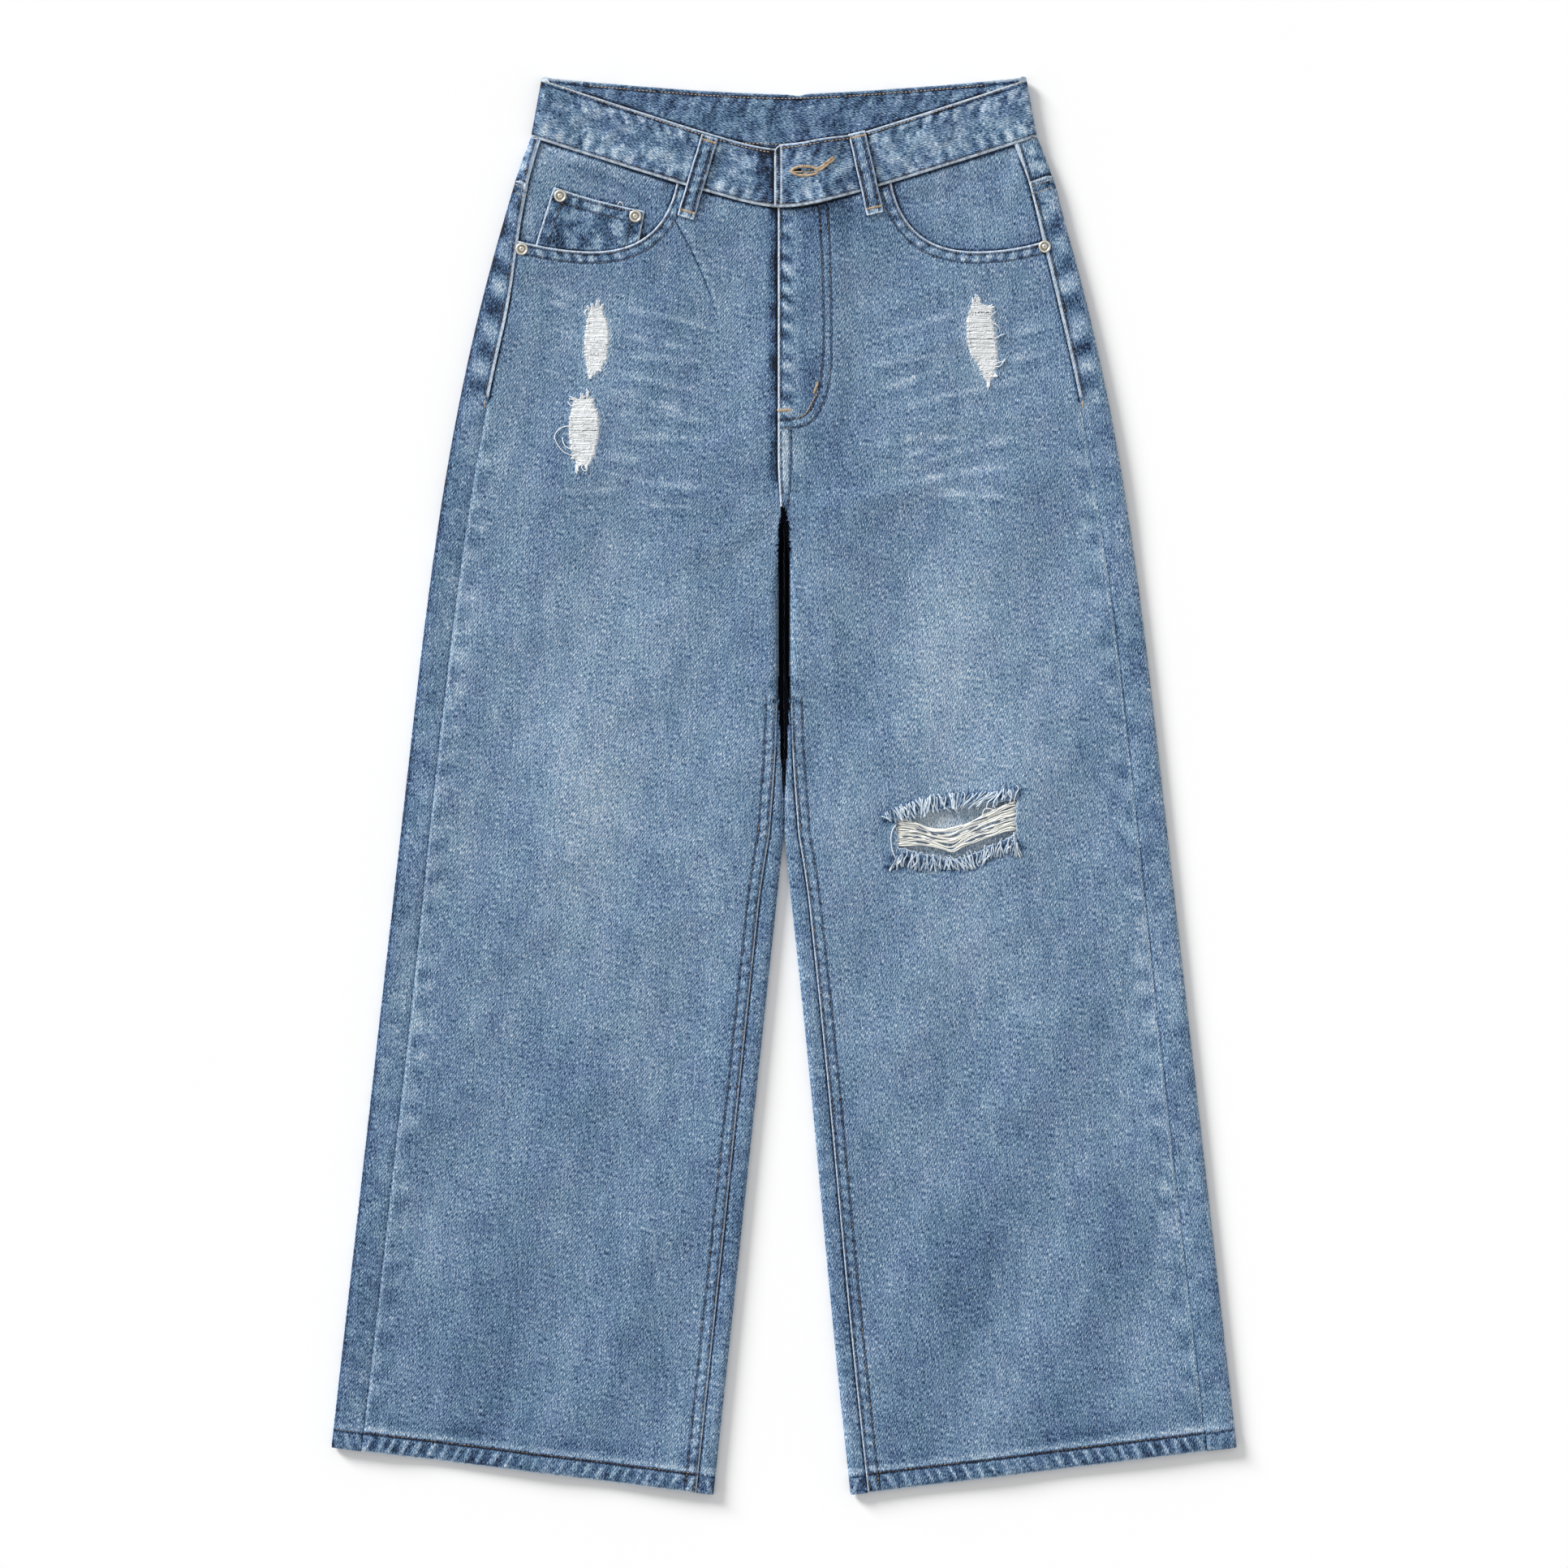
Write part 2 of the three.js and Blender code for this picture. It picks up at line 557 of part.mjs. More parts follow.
// ---- Metal -----------------------------------------------------------------------------------------
// A domed cap with a raised rim and a nipple in the middle.
function cap(radius, height) {
  const profile = [
    [0, 0], [radius, 0], [radius, height * 0.45], [radius * 0.88, height * 0.8], [radius * 0.6, height * 0.62],
    [radius * 0.28, height * 0.7], [0, height],
  ];
  const points = profile.map(([r, z]) => new THREE.Vector2(r, z));
  return new THREE.LatheGeometry(points, 16).rotateX(Math.PI / 2);
}
function rivet(name, x, y, face) {
  const height = 1.5;
  const mesh = new THREE.Mesh(cap(4.4, height), nickel());
  mesh.name = name;
  mesh.position.set(x, y, face + seam);
  jeans.add(mesh);
}
const frontFace = (x, y) => topFace(Math.abs(x), y) + (x < 0 ? coinRaise(-x, y) : 0);
rivet("rivet_coin_outer", -161, 424.5, topFace(161, 424.5) + 0.15);
rivet("rivet_coin_inner", -107, 410, topFace(107, 410) + 0.15);
rivet("rivet_pocket_right", -188.5, 386, frontFace(-188.5, 386) + 0.15);
rivet("rivet_pocket_left", 187.5, 388, frontFace(187.5, 388) + 0.15);

const waistButton = new THREE.Mesh(cap(button.radius, button.height), nickel());
waistButton.name = "waist_button";
waistButton.position.set(button.x, button.y, bandFace(0, button.y) + seam);
jeans.add(waistButton);

// ---- Bare threads in the rips ------------------------------------------------------------------------
for (const [name, rip] of Object.entries(slashes)) {
  const face = topFace(Math.abs(rip.x), rip.y);
  add(`rip_threads_${name}`, prism(slash(rip, -seam), face - cloth, face - 0.3), weft());
}
const kneeFace = topFace(124, -30);
add("rip_threads_knee", prism(kneeThreads, kneeFace - cloth, kneeFace - 0.2), weft());
for (const [name, outline] of Object.entries(kneeFringes))
  add(`fringe_knee_${name}`, prism(outline, kneeFace + 0.5, kneeFace + 1.4), denim());

export default jeans;
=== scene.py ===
# Ripped wide-leg jeans, laid flat on their back.
# Blender works in metres; the sizes below are in millimetres. The wearer's left leg is at +X,
# the waist at +Y, and the table is z = 0.
import bpy
import numpy as np
from numpy import (arange, array, asarray, c_, clip, concatenate, cumsum, diff, exp, full, hypot,
                   interp, linspace, maximum, minimum, ones, r_, vstack, where, zeros)
from math import pi, cos, sin, radians
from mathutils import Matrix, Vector
from mathutils.bvhtree import BVHTree
from mathutils.geometry import delaunay_2d_cdt


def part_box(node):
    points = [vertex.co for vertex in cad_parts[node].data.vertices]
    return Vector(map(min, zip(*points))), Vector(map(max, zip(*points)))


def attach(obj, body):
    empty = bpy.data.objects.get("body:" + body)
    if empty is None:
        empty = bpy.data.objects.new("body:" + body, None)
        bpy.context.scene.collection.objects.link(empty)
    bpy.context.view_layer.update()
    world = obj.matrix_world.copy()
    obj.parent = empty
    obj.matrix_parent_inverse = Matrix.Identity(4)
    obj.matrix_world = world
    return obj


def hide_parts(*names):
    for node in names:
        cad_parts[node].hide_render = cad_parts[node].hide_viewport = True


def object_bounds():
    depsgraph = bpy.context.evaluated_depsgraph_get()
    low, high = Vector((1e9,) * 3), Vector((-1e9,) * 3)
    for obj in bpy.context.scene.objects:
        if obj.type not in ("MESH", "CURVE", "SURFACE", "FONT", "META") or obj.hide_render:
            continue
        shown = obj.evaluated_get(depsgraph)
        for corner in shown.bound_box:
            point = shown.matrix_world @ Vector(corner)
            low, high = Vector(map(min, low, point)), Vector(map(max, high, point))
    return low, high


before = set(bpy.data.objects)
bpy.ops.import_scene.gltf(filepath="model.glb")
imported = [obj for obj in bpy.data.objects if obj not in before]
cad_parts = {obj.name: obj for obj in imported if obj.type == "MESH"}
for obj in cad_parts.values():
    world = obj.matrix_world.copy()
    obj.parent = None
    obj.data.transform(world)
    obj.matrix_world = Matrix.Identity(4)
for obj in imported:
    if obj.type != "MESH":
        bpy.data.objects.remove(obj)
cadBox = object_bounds()
mm = 0.001


def boxOf(node):
    low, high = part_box(node)
    return array(low) / mm, array(high) / mm


def mix(a, b, t):
    return a + (b - a) * t


def smooth(start, end, value):
    t = clip((value - start) / (end - start), 0, 1)
    return t * t * (3 - 2 * t)


def bell(value, middle, wide):
    # 1 at the middle, falling softly to 0 on both sides
    return exp(-(((value - middle) / wide) ** 2))


def wobble(x, y, size, seed):
    # soft waves of no fixed direction, about -1 to 1
    rnd = np.random.default_rng(seed)
    total = zeros(np.broadcast(x, y).shape)
    for turn, stretch, phase in zip(rnd.uniform(0, pi, 7), rnd.uniform(0.7, 1.5, 7), rnd.uniform(0, 6.3, 7)):
        total = total + np.sin((x * cos(turn) + y * sin(turn)) * 2 * pi / (size * stretch) + phase)
    return total / 2.6


# The cut: its ends come from the solids, the rest are the pattern's own sizes
cut = {
    "halfLength": cadBox[1].y / mm - 0.1,
    "hemHalf": cadBox[1].x / mm,
    "waistHalf": 174.3,
    "sideTopX": 182.2,  # where a side meets the waistband
    "sideTopY": 467.0,
    "frontDrop": 51.0,  # the waist seam's dip at the centre front
    "bandHeight": 42.0,
    "backDip": 12.0,  # the back waistband's sag
    "hemOuterY": -476.0,
    "kneeY": 40.0,
    "kneeHalf": 267.7,
    "crotchY": 190.0,
    "legSplitY": -35.0,
    "legSplay": 0.1065,
    "foldHeight": 6.2,
    "legSag": 1.1,
    "seatLift": 1.8,
    "hipRise": 1.4,
    "flyEdge": 4.5,
    "yokeSide": 434.0,
    "yokeCentre": 398.0,
    "hemDepth": 14.5,
    "cloth": 1.2,
    "band": 2.4,
    "gap": 0.3,
}
halfLength = cut["halfLength"]


def outerX(y):
    # half the garment's width
    y = asarray(y, float)
    slope = (cut["hemHalf"] - cut["kneeHalf"]) / (cut["kneeY"] - cut["hemOuterY"])
    height = cut["sideTopY"] - cut["kneeY"]
    taper = cut["kneeHalf"] - slope * height - cut["sideTopX"]
    up = maximum(y - cut["kneeY"], 0)
    leg = cut["kneeHalf"] - slope * (y - cut["kneeY"]) - taper * (up / height) ** 2.74
    waist = mix(cut["sideTopX"], cut["waistHalf"], (y - cut["sideTopY"]) / (halfLength - cut["sideTopY"]))
    return where(y > cut["sideTopY"], waist, leg)


def innerX(y):
    return 0.15 + maximum(0, cut["legSplitY"] - asarray(y, float)) * cut["legSplay"]


def sideInset(side, y):
    # how far the side seam lies in from the fold, on top
    high = mix(20, 17 if side > 0 else 7, smooth(330, cut["sideTopY"], y))
    return where(asarray(y) > cut["kneeY"], high, mix(20, 21.5, smooth(cut["kneeY"], -200, y)))


def seamX(side, y):
    return outerX(y) - sideInset(side, y)


def inseamX(y):
    # the inseam on top; above gapTop it has turned down between the legs
    return innerX(y) + mix(4.8, 12.6, smooth(60, -90, y))


gapFoot = 70.0  # above this the front's inner edge dips into the gap between the legs


def gapX(y):
    return 4.3 * smooth(cut["crotchY"] + 2, 140, y) + 0.4


def waistSeamY(x):
    return cut["sideTopY"] - cut["frontDrop"] + hypot(0.32 * x, 8) - 8


def backTopY(x):
    return halfLength - cut["backDip"] + cut["backDip"] * (np.abs(x) / cut["waistHalf"]) ** 1.4


def backSeamY(x):
    low = halfLength - cut["backDip"] - cut["bandHeight"]
    return mix(low, cut["sideTopY"], (np.abs(x) / cut["sideTopX"]) ** 1.4)


hemSlope = (halfLength + cut["hemOuterY"]) / (cut["hemHalf"] - float(innerX(-halfLength)))


def hemY(x):
    return -halfLength + (np.abs(x) - float(innerX(-halfLength))) * hemSlope


# How the cloth lies: soft swells and creases over the flat garment.
# A crease is (points, height, half width); each one also lies mirrored on the other leg, a bit weaker.
lay = {
    "swell": 0.75,
    "ripple": 0.30,
    "creases": [
        ([(8, 206), (40, 176), (84, 160)], 1.3, 8),
        ([(9, 198), (48, 204), (104, 216)], 0.9, 7),
        ([(10, 176), (30, 120), (42, 60)], 0.9, 8),
        ([(20, 262), (60, 240), (120, 232)], 0.6, 7),
        ([(52, 330), (96, 352), (150, 362)], 0.5, 5),
        ([(60, 296), (110, 318), (176, 322)], 0.5, 5),
        ([(64, 236), (116, 262), (190, 262)], 0.5, 6),
        ([(72, 200), (130, 222), (204, 214)], 0.45, 6),
        ([(60, 36), (130, 18), (230, 28)], 0.7, 13),
        ([(70, -86), (150, -104), (240, -84)], 0.7, 12),
        ([(100, -210), (170, -232), (250, -205)], 0.5, 14),
        ([(150, 130), (172, -60), (196, -260)], 1.0, 30),
        ([(96, -300), (112, -380), (118, -460)], 0.8, 16),
        ([(236, -290), (262, -370), (270, -440)], 0.8, 16),
    ],
    "fold": [(-78.5, 407), (-66, 384), (-54, 356), (-45.5, 330)],  # a sharp little fold by the right loop
}


def nearest(points, lines, reach=26.0):
    # distance to the closest of some lines, how far along it that is, and which side
    gap = full(len(points), 99.0)
    run = zeros(len(points))
    turn = zeros(len(points))
    for line in lines:
        line = asarray(line, float)
        start = 0.0
        for first in range(0, len(line) - 1, 10):
            part = line[first:first + 11]
            low, high = part.min(0) - reach, part.max(0) + reach
            near = np.flatnonzero(((points > low) & (points < high)).all(1))
            p = points[near]
            for a, b in zip(part, part[1:]):
                along = b - a
                length = float(hypot(*along))
                if length < 1e-6:
                    continue
                off = p - a
                t = clip(off @ along / length ** 2, 0, 1)
                apart = hypot(*(off - t[:, None] * along).T)
                closer = apart < gap[near]
                pick = near[closer]
                gap[pick] = apart[closer]
                run[pick] = start + t[closer] * length
                turn[pick] = np.sign(along[0] * off[closer, 1] - along[1] * off[closer, 0])
                start += length
    return gap, run, turn


def gapTo(points, line, reach=26.0):
    return nearest(points, [line], reach)[0]


def resample(line, step):
    line = asarray(line, float)
    run = r_[0, cumsum(hypot(*diff(line, axis=0).T))]
    at = linspace(0, run[-1], max(1, round(run[-1] / step)) + 1)
    return c_[interp(at, run, line[:, 0]), interp(at, run, line[:, 1])]


def bezier(points, count=16):
    t = linspace(0, 1, count)[:, None]
    points = [asarray(p, float) for p in points]
    while len(points) > 1:
        points = [mix(a, b, t) for a, b in zip(points, points[1:])]
    return points[0]


def sideways(line, by):
    # a line moved over, to its own left
    line = asarray(line, float)
    along = np.gradient(line, axis=0)
    along /= hypot(*along.T)[:, None]
    return line + c_[-along[:, 1], along[:, 0]] * by


def mirrored(side, line):
    line = array(line, float)
    line[:, 0] *= side
    return line


def curveOver(line, count=40):
    # a smooth curve through given points
    line = asarray(line, float)
    t = linspace(0, len(line) - 1, count)
    k = clip(t.astype(int), 0, len(line) - 2)
    f = (t - k)[:, None]
    a, b, c, d = (line[clip(k + n, 0, len(line) - 1)] for n in (-1, 0, 1, 2))
    bend, twist = 2 * a - 5 * b + 4 * c - d, 3 * b - a - 3 * c + d
    return 0.5 * (2 * b + (c - a) * f + bend * f ** 2 + twist * f ** 3)


foldWide = 4.6  # how far in from a fold the cloth has turned level


def topFace(x, y):
    # the outer face of the top layer, sagging between the folds
    x = np.abs(x)
    hip = smooth(cut["crotchY"], 250, y)
    high = cut["foldHeight"] + cut["hipRise"] * smooth(150, 230, y)
    fromInner = x - innerX(y) + 200 * hip
    sag = cut["legSag"] * smooth(4, 60, minimum(outerX(y) - x, fromInner))
    return high - sag * (1 - 0.6 * smooth(-430, -halfLength, y))


def creaseLines():
    lines = []
    for points, height, width in lay["creases"]:
        for side, share in ((1, 1.0), (-1, 0.8)):
            line = mirrored(side, curveOver(points, 14))
            lines.append((line, hypot(*diff(line, axis=0).T).sum(), height * share, width))
    return lines


creases = creaseLines()
foldLine = curveOver(lay["fold"], 20)


def foldShade(side, x, y):
    # the worn fold catches the light on one side only, so it is evened out here
    wide, narrow = (0.20, 0.16) if side < 0 else (-0.12, 0)
    rim = outerX(y) - np.abs(x)
    return wide * smooth(4.4, 1.6, rim) + narrow * smooth(1.8, 0.6, rim)


def drape(x, y):
    x, y = np.broadcast_arrays(asarray(x, float), asarray(y, float))
    flat = c_[x.ravel(), y.ravel()]
    lift = lay["swell"] * wobble(flat[:, 0], flat[:, 1] * 0.7, 120, 5)
    lift += lay["ripple"] * wobble(flat[:, 0], flat[:, 1] * 0.8, 46, 6)
    for line, length, height, width in creases:
        gap, run, _ = nearest(flat, [line], width * 2.4)
        ends = np.sin(pi * clip(run / length, 0, 1)) ** 0.6
        lift += height * ends * bell(gap, 0, width) * (gap < 90)
    fromEdge = outerX(flat[:, 1]) - np.abs(flat[:, 0])
    fromInner = np.abs(flat[:, 0]) - innerX(flat[:, 1]) + 200 * smooth(cut["crotchY"], 250, flat[:, 1])
    lift *= smooth(0, 26, fromEdge) * smooth(0, 24, fromInner)
    lift *= 1 - 0.5 * smooth(-halfLength + 40, -halfLength, flat[:, 1])
    return lift.reshape(x.shape)


def lie(x, y):
    return topFace(x, y) + drape(x, y)


def flyRaise(x, y):
    # the left front rides over the fly's facing and the right front
    return 1.6 * smooth(232, 262, y) * (1 - smooth(34, 52, x)) + 0.7 * (1 - smooth(232, 262, y)) * smooth(
        cut["crotchY"] - 6, cut["crotchY"] + 16, y) * (1 - smooth(6, 22, x))


def coinRaise(x, y):
    # the right front rides over the coin pocket; x is counted to the wearer's right
    return 1.5 * smooth(84, 100, x) * smooth(350, 376, y)


def bandFace(x, y):
    return topFace(maximum(0, x), y) + 0.6 + 0.5 * drape(x, y)


buttonSpot = (boxOf("waist_button")[0] + boxOf("waist_button")[1]) / 2


def flapRaise(x):
    # the left band's end stands over the right one, and over the button
    button = 1 - smooth(6, 26, np.abs(x - buttonSpot[0]))
    return 2.7 * (1 - smooth(36, 66, x)) + 2.4 * button


# Looks of a sheet, point by point: tone (how faded), edge, row and under (distances to worn edges,
# to stitch rows and to a covering edge; shade is painted along both), blotch (how mottled), and weave (where
# the point lies in the cloth)
def plainLooks(points, tone=0.5, blotch=0.0, angle=0.0):
    c, s = cos(radians(angle)), sin(radians(angle))
    x, y = points[:, 0], points[:, 1]
    far = full(len(points), 99.0)
    return {
        "tone": full(len(points), tone),
        "edge": far.copy(),
        "row": far.copy(),
        "under": far.copy(),
        "blotch": full(len(points), blotch),
        "weave": c_[x * c + y * s, y * c - x * s, zeros(len(points))],
    }


def nearer(looks, key, gap):
    # keeps the shorter of two distances
    looks[key] = minimum(looks[key], gap)


def inside(points, loop):
    # which points lie within a closed outline
    order = np.argsort(points[:, 1])
    x, y = points[order].T
    hit = zeros(len(points), bool)
    for (ax, ay), (bx, by) in zip(loop, np.roll(loop, -1, 0)):
        if ay != by:
            first, last = np.searchsorted(y, sorted((ay, by)))
            hit[first:last] ^= x[first:last] < ax + (y[first:last] - ay) * (bx - ax) / (by - ay)
    found = zeros(len(points), bool)
    found[order] = hit
    return found


# Triangles over a flat outline: fine near its edges, and rows of points along edges and stitch rows
def planMesh(outline, holes=(), fine=2.5, coarse=4.4, rim=10.0, guides=()):
    loop = vstack([resample(part, 2.2)[:-1] for part in outline])
    edges = [vstack([edge, edge[:1]]) for edge in (loop, *holes)]

    def grid(step):
        low, high = loop.min(0), loop.max(0)
        rows = arange(low[1], high[1] + step, step * 0.866)
        columns = arange(low[0] - step, high[0] + step, step)
        x, y = np.meshgrid(columns, rows)
        x = x + (arange(len(rows)) % 2)[:, None] * step / 2
        points = c_[x.ravel(), y.ravel()]
        return points[inside(points, loop)]

    def apart(points):
        fromGuide = nearest(points, guides, rim + 2)[0] if guides else full(len(points), 99.0)
        return nearest(points, edges, rim + 2)[0], fromGuide

    rails = [sideways(edge[:-1], by) for edge in edges for by in (0.7, -0.7, 1.5, -1.5)]
    rails += [sideways(resample(guide, 2.3), by) for guide in guides for by in (-1.0, 0.0, 1.0)]
    rails = vstack(rails)
    rails = rails[np.unique(np.round(rails / 0.62), axis=0, return_index=True)[1]]
    rails = rails[inside(rails, loop)]
    rails = rails[nearest(rails, edges, 4)[0] > 0.55]
    dense = grid(fine)
    edge, guide = apart(dense)
    dense = dense[((edge < rim) | (guide < rim * 0.6)) & (edge > 2.4) & (guide > 2.0)]
    wide = grid(coarse)
    edge, guide = apart(wide)
    wide = wide[(edge >= rim) & (guide >= rim * 0.6)]
    for hole in holes:
        dense, wide, rails = (part[~inside(part, hole)] for part in (dense, wide, rails))
    start = 0
    segments = []
    for ring in (loop, *holes):
        index = arange(start, start + len(ring))
        segments += list(zip(index.tolist(), np.roll(index, -1).tolist()))
        start += len(ring)
    flat = [Vector(p) for p in vstack([loop, *holes, rails, dense, wide])]
    verts, _, faces, *_ = delaunay_2d_cdt(flat, segments, [list(range(len(loop)))], 1, 1e-4)
    verts = array([tuple(v) for v in verts])
    faces = array([f for f in faces if len(f) == 3])
    middle = verts[faces].mean(1)
    for hole in holes:
        keep = ~inside(middle, hole)
        faces, middle = faces[keep], middle[keep]
    used = np.unique(faces)
    renumber = zeros(len(verts), int)
    renumber[used] = arange(len(used))
    verts, faces = verts[used], renumber[faces]
    return verts, wound(c_[verts, zeros(len(verts))], faces)


def normalsOf(points, faces):
    a, b = points[faces[:, 2]] - points[faces[:, 0]], points[faces[:, -1]] - points[faces[:, 1]]
    if faces.shape[1] == 3:
        a, b = points[faces[:, 1]] - points[faces[:, 0]], points[faces[:, 2]] - points[faces[:, 0]]
    across = np.cross(a, b)
    total = np.zeros_like(points)
    for corner in faces.T:
        np.add.at(total, corner, across)
    length = np.linalg.norm(total, axis=1)
    return total / maximum(length, 1e-9)[:, None]


def wound(points, faces, chosen=slice(None), way=1):
    # turns the faces over unless the chosen points look up, or down for way -1
    up = normalsOf(points, faces)[chosen, 2].mean() * way
    return faces[:, ::-1] if up < 0 else faces


def legLean(points):
    # the wearer's left leg lies a little closer in at its hem
    points = array(points, float)
    x, y = points[:, 0], points[:, 1]
    points[:, 0] -= 2.9 * smooth(-150, -450, y) * smooth(150, 45, x) * (x > 0)
    return points


def place(name, data):
    thing = bpy.data.objects.new(name, data)
    bpy.context.scene.collection.objects.link(thing)
    return thing


def meshFrom(name, points, faces, looks, materials, materialIndex=None):
    mesh = bpy.data.meshes.new(name)
    points = legLean(points)
    mesh.from_pydata((asarray(points) * mm).tolist(), [], faces)
    for material in materials:
        mesh.materials.append(material)
    for key, values in looks.items():
        kind = "FLOAT_VECTOR" if values.ndim == 2 else "FLOAT"
        layer = mesh.attributes.new(key, kind, "POINT")
        layer.data.foreach_set("vector" if values.ndim == 2 else "value", values.astype("f4").ravel())
    if materialIndex is not None:
        mesh.polygons.foreach_set("material_index", materialIndex)
    mesh.shade_smooth()
    mesh.validate()
    return place(name, mesh)


def settle(piece, nodes=()):
    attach(piece, "root")
    if nodes:
        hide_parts(*nodes)
    return piece


# A closed thin sheet: its outer side, the same points moved in, and a rim between them
def shell(name, points, faces, thickness, looks, outside, inner=None, gapShadeFaces=None):
    count = len(points)
    inward = points - normalsOf(points, faces) * asarray(thickness).reshape(-1, 1)
    starts = faces.ravel().astype(np.int64)
    ends = np.roll(faces, -1, axis=1).ravel().astype(np.int64)
    lone = ~np.isin(starts * count + ends, ends * count + starts)
    rims = c_[ends[lone], starts[lone], starts[lone] + count, ends[lone] + count]
    under = faces[:, ::-1] + count
    allFaces = faces.tolist() + under.tolist() + rims.tolist()
    index = zeros(len(allFaces), int)
    if inner:
        index[len(faces):2 * len(faces)] = 1
    both = {key: concatenate([v, v]) for key, v in looks.items()}
    materials = [outside, inner] if inner else [outside]
    if gapShadeFaces is not None:  # the faces down between the legs, given the near-black material that paints their shade
        owner = np.repeat(arange(len(faces)), faces.shape[1])[lone]
        index[concatenate([gapShadeFaces, gapShadeFaces, gapShadeFaces[owner]])] = len(materials)
        materials.append(gapShadeCloth)
    piece = meshFrom(name, vstack([points, inward]), allFaces, both, materials, index)
    piece.data.set_sharp_from_angle(angle=radians(50))
    return piece


def gridFaces(rows, columns, skip=None):
    at = arange(rows * columns).reshape(rows, columns)
    faces = np.stack([at[:-1, :-1], at[1:, :-1], at[1:, 1:], at[:-1, 1:]], axis=-1).reshape(-1, 4)
    return faces if skip is None else faces[~skip.ravel()]


def colour(r, g, b):
    c = array([r, g, b]) / 255
    c = where(c <= 0.04045, c / 12.92, ((c + 0.055) / 1.055) ** 2.4)
    return (*c.tolist(), 1.0)


def blank(name):
    material = bpy.data.materials.new(name)
    material.use_nodes = True
    tree = material.node_tree
    tree.nodes.clear()
    out = tree.nodes.new("ShaderNodeOutputMaterial")
    shader = tree.nodes.new("ShaderNodeBsdfPrincipled")
    tree.links.new(shader.outputs[0], out.inputs[0])
    return material, tree, shader


def preset(node, values):
    for key, value in values.items():
        node.inputs[key].default_value = value


def feed(tree, socket, value):
    if isinstance(value, bpy.types.NodeSocket):
        tree.links.new(value, socket)
    else:
        socket.default_value = value


def calc(tree, how, a, b=0.0, c=0.0):
    node = tree.nodes.new("ShaderNodeMath")
    node.operation = how
    for socket, value in zip(node.inputs, (a, b, c)):
        feed(tree, socket, value)
    return node.outputs[0]


def spread(tree, value, low, high, toLow=0.0, toHigh=1.0, how="SMOOTHSTEP"):
    node = tree.nodes.new("ShaderNodeMapRange")
    node.interpolation_type = how
    for socket, number in zip(node.inputs, (value, low, high, toLow, toHigh)):
        feed(tree, socket, number)
    return node.outputs[0]


def attribute(tree, name, output="Fac"):
    node = tree.nodes.new("ShaderNodeAttribute")
    node.attribute_name = name
    return node.outputs[output]


def mapped(tree, vector, key, value):
    node = tree.nodes.new("ShaderNodeMapping")
    preset(node, {key: value})
    feed(tree, node.inputs["Vector"], vector)
    return node.outputs[0]


def noise(tree, vector, stretch, detail=2.0, rough=0.5, turn=0.0):
    if turn:
        vector = mapped(tree, vector, "Rotation", (0, 0, radians(turn)))
    vector = mapped(tree, vector, "Scale", (*stretch, 1))
    node = tree.nodes.new("ShaderNodeTexNoise")
    preset(node, {"Scale": 1.0, "Detail": detail, "Roughness": rough})
    feed(tree, node.inputs["Vector"], vector)
    return node.outputs["Fac"]


def ramp(tree, value, stops):
    node = tree.nodes.new("ShaderNodeValToRGB")
    while len(node.color_ramp.elements) < len(stops):
        node.color_ramp.elements.new(0.5)
    for element, (at, shade) in zip(node.color_ramp.elements, stops):
        element.position = at
        element.color = colour(*shade)
    feed(tree, node.inputs[0], value)
    return node.outputs[0]


def blend(tree, share, a, b):
    node = tree.nodes.new("ShaderNodeMix")
    node.data_type = "RGBA"
    feed(tree, node.inputs[0], share)
    feed(tree, node.inputs[6], a)
    feed(tree, node.inputs[7], b)
    return node.outputs[2]


def bump(tree, shader, height, depth):
    node = tree.nodes.new("ShaderNodeBump")
    preset(node, {"Strength": 0.6, "Distance": depth * mm})
    feed(tree, node.inputs["Height"], height)
    feed(tree, shader.inputs["Normal"], node.outputs[0])


indigo = {
    "stops": [
        (0.00, (13, 17, 27)), (0.14, (30, 50, 82)), (0.30, (62, 92, 128)), (0.44, (91, 121, 154)),
        (0.60, (124, 152, 178)), (0.80, (172, 191, 208)), (1.00, (230, 236, 240)),
    ],
    "yarn": 1.95,  # how much the single yarns stand out
    "twill": 0.05,
    "slub": 0.50,
    "cloud": 0.14,
    "blotch": 0.20,
    "drift": 0.0045,
    "worn": (204, 217, 230),
}


